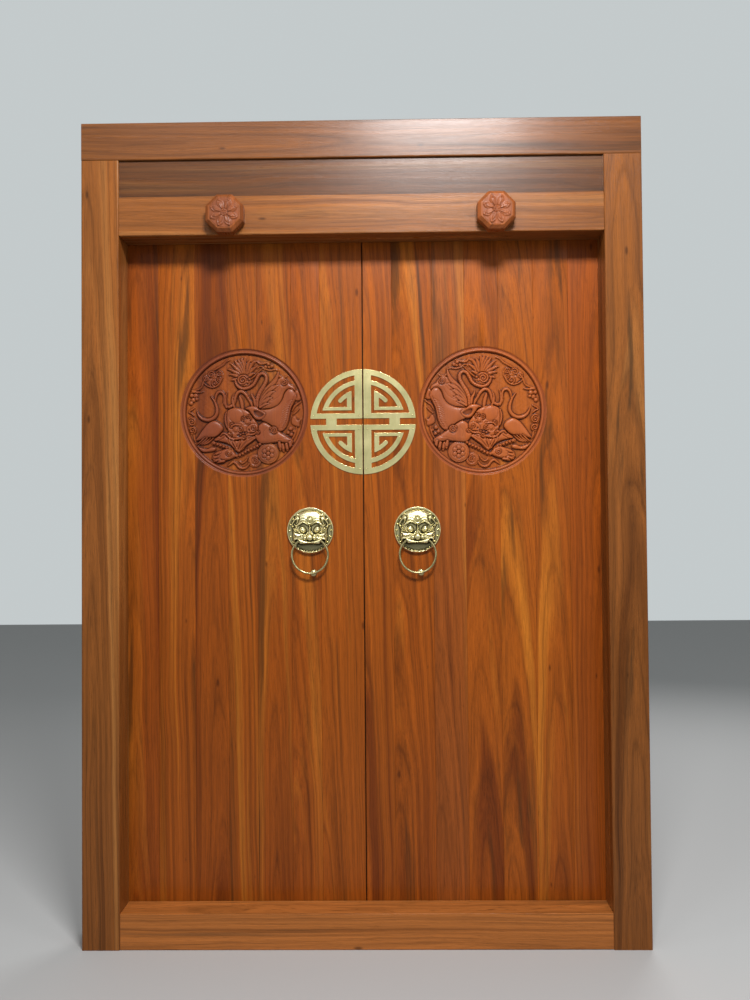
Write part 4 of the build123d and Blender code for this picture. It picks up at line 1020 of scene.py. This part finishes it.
def nail_tree(material):
    """Round nail heads on the points of a mesh, looking towards -Y."""
    tree = bpy.data.node_groups.new("nail_heads", "GeometryNodeTree")
    tree.interface.new_socket("Geometry", in_out="INPUT", socket_type="NodeSocketGeometry")
    for name in ("Head Radius", "Head Height"):
        tree.interface.new_socket(name, in_out="INPUT", socket_type="NodeSocketFloat")
    tree.interface.new_socket("Geometry", in_out="OUTPUT", socket_type="NodeSocketGeometry")
    nodes, link = tree.nodes, tree.links.new
    given, result = nodes.new("NodeGroupInput"), nodes.new("NodeGroupOutput")
    head = nodes.new("GeometryNodeMeshUVSphere")
    head.inputs["Segments"].default_value = 14
    head.inputs["Rings"].default_value = 8
    head.inputs["Radius"].default_value = 1.0
    size = nodes.new("ShaderNodeCombineXYZ")
    squeeze = nodes.new("GeometryNodeTransform")
    set_on = nodes.new("GeometryNodeInstanceOnPoints")
    real = nodes.new("GeometryNodeRealizeInstances")
    finish = nodes.new("GeometryNodeSetMaterial")
    finish.inputs["Material"].default_value = material
    for axis, source in (("X", "Head Radius"), ("Y", "Head Height"), ("Z", "Head Radius")):
        link(given.outputs[source], size.inputs[axis])
    link(head.outputs["Mesh"], squeeze.inputs["Geometry"])
    link(size.outputs[0], squeeze.inputs["Scale"])
    link(given.outputs["Geometry"], set_on.inputs["Points"])
    link(squeeze.outputs[0], set_on.inputs["Instance"])
    link(set_on.outputs[0], real.inputs[0])
    link(real.outputs[0], finish.inputs["Geometry"])
    link(finish.outputs[0], result.inputs["Geometry"])
    return tree


def plain_mesh(thing):
    """An object's mesh as its modifiers leave it."""
    return bpy.data.meshes.new_from_object(
        thing.evaluated_get(bpy.context.evaluated_depsgraph_get()))


def nail_heads(name, places, radius, height, material, body):
    """One mesh of nail heads at places in metres, on one body."""
    points = bpy.data.meshes.new(name + "_places")
    points.from_pydata(places, [], [])
    holder = add_object(name + "_places", points)
    maker = holder.modifiers.new("nails", "NODES")
    maker.node_group = nail_tree(material)
    sizes = {"Head Radius": radius, "Head Height": height}
    for item in maker.node_group.interface.items_tree:
        if item.in_out == "INPUT" and item.name in sizes:
            maker[item.identifier] = sizes[item.name]
    mesh = plain_mesh(holder)
    bpy.data.objects.remove(holder)
    mesh.name = name
    mesh.shade_smooth()
    place_piece(name, mesh, material, body, "brass")


nail_brass = brass("nail_brass", (0.62, 0.50, 0.24), (0.10, 0.08, 0.04), 0.30, 60.0)
roundel_z, roundel_face = 1.448, 0.049
roundel_nails = [(12.7, 137.3), (11.5, 17.3), (140.7, 17.3), (36.9, 39.3), (105.3, 39.3),
                 (11.5, -21.7), (140.7, -21.7), (36.9, -41.5), (103.0, -43.2), (9.5, -134.0)]
for side, sign in (("left", -1), ("right", 1)):
    nail_heads("roundel_nails_" + side,
               [(sign * x / 1000, roundel_face, roundel_z + z / 1000) for x, z in roundel_nails],
               0.0018, 0.0010, nail_brass, "leaf_" + side)


# Lion masks: cast brass plates of 132 mm with a raised lion's face, whose ground is dark
# and whose high places are polished. The ring passes through the corners of the mouth.
mask_x, mask_z, mask_reach = 152.0, 1139.0, 66.0
plate_level = 4.6
lion = CarvedRelief(67.0, 0.35)
lion_x, lion_y = np.meshgrid(*(np.linspace(-lion.half, lion.half, lion.side),) * 2)
lion_r = np.hypot(lion_x, lion_y)


def both(cut, points, *sizes, **more):
    """Cuts a form in the right half of the face, and its mirror image in the left."""
    for sign in (1, -1):
        cut([(sign * p[0], *p[1:]) for p in points], *sizes, **more)


def whole(half):
    """An outline or a strand over both halves of the face, from its points in one half."""
    return half + [(-p[0], *p[1:]) for p in half[::-1] if p[0]]


lion.height = np.interp(lion_r, [0, 53.5, 54.5, 61.0, 62.2, 63.2, 64.4, 65.4, 66.0],
                        [plate_level, plate_level, 4.2, 4.2, 6.2, 7.0, 7.2, 6.6, 4.5])
lion.dark = np.where((lion_r > 40) & (lion_r < 61.8), 0.60, 0.0)
crown = (lion_y > 0.86 * np.abs(lion_x) + 4) & (lion_r > 54.5) & (lion_r < 62.5)
lion.height[crown] = 6.8
lion.dark[crown] = 0.0

# face and locks, ears with their pits
lion.form(whole([(0, 58), (20, 54.5), (36, 46), (45, 34), (48, 18), (48, 2), (49, -14), (47, -30),
                 (38, -38), (0, -40)]), 7.5, 21.5, 27, moat=1.0)
lion.score(whole([(-38, 45), (-22, 54), (0, 57.6)]), 2.2, 0.8)
both(lion.form, [(30, 40), (40, 38), (50, 26), (53, 14), (46, 8), (38, 16), (30, 28)], 7.0, 15.5, 6)
both(lion.form, [(40, 30), (47, 22), (49, 15), (43, 15), (38, 24)], 11.5, 9.0, 3, dark=0.9)
both(lion.score, [(10, 44), (18, 50), (28, 47), (35, 39)], 0.8, 0.8)
both(lion.score, [(9, 37), (18, 42), (29, 40), (37, 32)], 0.8, 0.8)
both(lion.score, [(12, 31), (20, 33), (30, 31), (38, 24)], 0.8, 0.8)

# cheeks, hollow of the eyes, brows, eyes and the flames beside them
lion.form(whole([(10, 6), (20, -4), (36, -12), (44, -20), (46, -27), (38, -30)]),
          20.5, 27.0, 10, moat=1.0)
# the hollow of the eyes is marked dark: painted shade under the brows
lion.form(whole([(0, 13), (9, 18), (19, 22.5), (30, 16), (30, 6), (20, -7), (11, -10), (5, -2)]),
          19.0, 17.2, 4, dark=0.5)
both(lion.stroke, [(4, 15.5, 1.4), (10, 20, 2.2), (19, 24.5, 3.0), (29, 20, 3.4), (35, 15, 3.0),
                   (38, 9, 1.2)], 20.0, 25.0, moat=0.9)
both(lion.form, [(10.5, 0), (13, 7), (19, 12), (26, 11.5), (29, 5), (26, -2), (19, -6.5), (13, -5)],
     18.0, 26.5, 7, moat=1.2)
both(lion.score, [(12.5, -1), (17, 3.5), (23, 5.5), (28, 5)], 1.5, 0.9)
both(lion.stroke, [(22, -8.5, 1.2), (30, -4, 2.2), (35, 4, 2.6), (38.5, 12, 2.4), (45, 19, 1.0)],
     17.0, 24.0, moat=0.9)
both(lion.stroke, [(36, -5, 1.0), (42, 0, 2.2), (47, 6, 2.2), (51, 12, 0.9)], 9.0, 17.5, moat=0.9)

# wings and holes of the nose, leaves of the cheeks, nose ridge and the boss of the forehead
for sign in (-1, 1):
    lion.ball(sign * 12.0, -21, 6.6, 25.5, 31.0, moat=0.9)
    lion.ball(sign * 10.5, -25.6, 1.7, 28.0, 26.6, moat=0.5, dark=0.9)
both(lion.form, [(13, -10), (26, -9), (36, -8), (48, -3), (43, -12), (38, -19), (27, -16)],
     22.5, 27.5, 4, moat=1.2)
both(lion.score, [(17, -11), (30, -12), (42, -9)], 0.9, 0.7)
both(lion.score, [(30, -22), (22, -18), (20, -14)], 1.6, 0.9)
lion.stroke([(0, 15, 1.6), (0, 8, 2.2), (0, 0, 3.2), (0, -8, 5.6), (0, -15, 7.4), (0, -20, 7.8)],
             21.0, 32.0)
lion.ball(0, -19.5, 8.4, 28.5, 34.0)
lion.ball(0, 30.5, 7.2, 21.5, 24.0)
lion.ball(0, 30.5, 4.8, 23.0, 27.0, moat=0.8)

# open mouth, upper lip, lower lip and its teeth
lion.form(whole([(0, -58), (26, -55), (42, -47), (41, -40), (41, -26), (20, -30), (0, -33)]),
          9.0, 9.0, 4, moat=0.5, dark=0.75)
lion.form(whole([(0, -31), (12, -29), (24, -25.5), (34, -23.5), (31.2, -30), (27, -37.4), (14, -36.4),
                 (0, -35.4)]), 26.6, 31.6, 4.5, moat=0.6)
lion.stroke(whole([(-46, -40, 2.4), (-40, -49, 3.2), (-28, -57, 4.0), (-14, -61.3, 4.4),
                   (0, -62.4, 4.4)]), 6.5, 12.0, moat=0.6)
tooth_circle = 58.6
for tooth in range(-5, 6):
    turn = math.radians(-90 + 8.4 * tooth)
    lion.ball(tooth_circle * math.cos(turn), tooth_circle * math.sin(turn) + 0.6, 2.5, 9.0, 13.4, moat=0.6)

# the rim stays round, whatever the mouth and the mane do next to it
edge_zone = lion_r > 61.9
lion.height[edge_zone] = np.minimum(lion.height[edge_zone], np.interp(
    lion_r[edge_zone], [61.9, 63.2, 64.4, 65.4, 66.0], [12.0, 9.5, 7.6, 6.6, 4.5]))
lion.dark[edge_zone] = 0.0
lion.height = softened(lion.height, 1.3)
lion_hollow = np.clip(
    0.85 * softened(lion.dark, 1.5) + 0.70 * lion.hollows(1.6, 1.8) + 0.25 * lion.hollows(4.0, 4.0),
    0, 0.95)

mask_brass = brass("mask_brass", (0.80, 0.71, 0.40), (0.060, 0.053, 0.024), 0.33, 40.0)
mask_rings = np.concatenate([np.linspace(0.012, 0.97, 104), [0.982, 0.992, 1.0, 1.0]])
mask_spokes = 380
gx, gz = turned_grid(mask_rings, mask_spokes, mask_reach)
rise = lion.sample(lion.height, gx, gz)
rise[-2 * mask_spokes:-mask_spokes] = plate_level
rise[-mask_spokes:] = 0.0
places = np.column_stack([mask_x + gx, leaf_front - rise, mask_z + gz]) / 1000
lion_mesh = facing_out(mesh_of("lion_mask", places, grid_faces(len(mask_rings), mask_spokes)))

# the ring's room behind the upper lip, and the bar that it hangs on
axis_drop, room_half, room_floor, lip_back = 32.0, 40.67, 4.0, 25.1
room_outline = [(-room_half, -39.2), (room_half, -39.2), (room_half, -26.0),
                (31.4, -14.5), (-31.4, -14.5), (-room_half, -26.0)]
room_points = [((mask_x + x) / 1000, (leaf_front - d) / 1000, (mask_z + z) / 1000)
               for d in (room_floor, lip_back) for x, z in room_outline]
room_faces = [tuple(range(6)), tuple(range(6, 12))[::-1]] + [
    (i, i + 6, (i + 1) % 6 + 6, (i + 1) % 6) for i in range(6)]
room_mesh = facing_out(mesh_of("ring_room", room_points, room_faces, smooth=False))
lion_block = add_object("lion_block", lion_mesh)
room_block = add_object("room_block", room_mesh)
hollowing = lion_block.modifiers.new("room", "BOOLEAN")
hollowing.object = room_block
hollowing.operation = "DIFFERENCE"
hollowing.solver = "EXACT"
cut_mask = plain_mesh(lion_block)
bpy.data.objects.remove(lion_block)
bpy.data.objects.remove(room_block)

edit = bmesh.new()
edit.from_mesh(cut_mask)
bar_radius, bar_half, bar_sides, bar_depth = 5.6, 20.0, 24, 21.5
ends = []
for x in (mask_x - bar_half, mask_x + bar_half):
    ends.append([
        edit.verts.new((x / 1000, (leaf_front - bar_depth - bar_radius * math.cos(a)) / 1000,
                        (mask_z - axis_drop + bar_radius * math.sin(a)) / 1000))
        for a in all_round(bar_sides)])
near, far = ends
bar = [edit.faces.new((near[i], near[(i + 1) % bar_sides], far[(i + 1) % bar_sides], far[i]))
       for i in range(bar_sides)]
bar += [edit.faces.new(near[::-1]), edit.faces.new(far)]
bmesh.ops.recalc_face_normals(edit, faces=bar)
edit.to_mesh(cut_mask)
edit.free()

spots = np.array([v.co for v in cut_mask.vertices]) * 1000
flat_x, flat_z, rise = spots[:, 0] - mask_x, spots[:, 2] - mask_z, leaf_front - spots[:, 1]
# points sunk in the ring's room behind the lip and under the relief get the darkest colour: painted shade
# in that cavity, together with its patina
buried = (rise > 0.5) & (rise < lion.sample(lion.height, flat_x, flat_z) - 1.2)
shade = np.where(buried, 1.0, lion.sample(lion_hollow, flat_x, flat_z))
shade_layer = cut_mask.attributes.new("hollow", "FLOAT", "POINT")
shade_layer.data.foreach_set("value", shade.astype(np.float32))
cut_mask.shade_smooth()
cut_mask.set_sharp_from_angle(angle=math.radians(62))
stud_circle, stud_level = 58.0, 4.4
stud_angles = (146, 128, 163, 180, 197, 214, 34, 52, 17, 0, -17, -34)


def circle_at(x, z, rise, radius, angles):
    """Points in metres on an upright circle, rise millimetres in front of the leaf."""
    return [((x + radius * math.cos(a)) / 1000, (leaf_front - rise) / 1000,
             (z + radius * math.sin(a)) / 1000) for a in angles]


for side, sign in (("left", -1), ("right", 1)):
    mesh = cut_mask.copy()
    if sign < 0:
        mesh.vertices.foreach_set(
            "co", ((spots - (2 * mask_x, 0, 0)) / 1000).astype(np.float32).ravel())
    mesh.name = "mask_" + side + "_cast"
    place_piece("mask_" + side + "_cast", mesh, mask_brass, "leaf_" + side, "brass", "mask_" + side)
    places = circle_at(sign * mask_x, mask_z, stud_level, stud_circle, map(math.radians, stud_angles))
    nail_heads("mask_studs_" + side, places, 0.0030, 0.0032, sheet_brass, "leaf_" + side)


# Rings and strike studs: a ring of 6 mm brass rod hangs from each mask, and its lower end
# strikes a domed brass stud, which is a little to the right of the middle on both leaves.
rod_brass = brass("rod_brass", (0.50, 0.43, 0.22), (0.14, 0.12, 0.06), 0.29, 40.0)
ring_radius, rod_radius, ring_depth, mouth_half = 51.0, 3.0, 21.5, 35.0
ring_z = mask_z - axis_drop - math.sqrt(ring_radius**2 - mouth_half**2)
turns_round, rod_sides = 144, 20
strike_z, strike_rise, strike_offset = 1018.9, 18.2, 9.0
stud_profile = [(9.9, 0.0), (9.9, 1.6), (9.3, 2.3), (7.4, 2.8), (6.6, 3.8), (6.4, 8.0), (6.9, 9.6),
                (8.6, 10.4), (9.5, 11.6), (9.7, 13.2), (9.2, 14.9), (7.8, 16.4), (5.6, 17.5),
                (2.9, 18.05)]
stud_spokes = 48
for side, sign in (("left", -1), ("right", 1)):
    points, faces = [], []
    for i, a in enumerate(all_round(turns_round)):
        for j, b in enumerate(all_round(rod_sides)):
            reach = ring_radius + rod_radius * math.cos(b)
            points.append(((sign * mask_x + reach * math.cos(a)) / 1000,
                           (leaf_front - ring_depth - rod_radius * math.sin(b)) / 1000,
                           (ring_z + reach * math.sin(a)) / 1000))
            right, up = (i + 1) % turns_round, (j + 1) % rod_sides
            faces.append((i * rod_sides + j, right * rod_sides + j,
                          right * rod_sides + up, i * rod_sides + up))
    ring_mesh = facing_out(mesh_of(f"ring_{side}_rod", points, faces))
    place_piece(f"ring_{side}_rod", ring_mesh, rod_brass, "ring_" + side, "brass", "ring_" + side)

    stud_x = sign * mask_x + strike_offset
    points = [(stud_x / 1000, (leaf_front - strike_rise) / 1000, strike_z / 1000)]
    for radius, height in stud_profile[::-1]:
        points += circle_at(stud_x, strike_z, height, radius, all_round(stud_spokes))
    stud_mesh = facing_out(
        mesh_of(f"strike_stud_{side}_turned", points, grid_faces(len(stud_profile), stud_spokes)))
    stud_mesh.set_sharp_from_angle(angle=math.radians(50))
    place_piece(f"strike_stud_{side}_turned", stud_mesh, rod_brass, "leaf_" + side, "brass",
                "strike_stud_" + side)
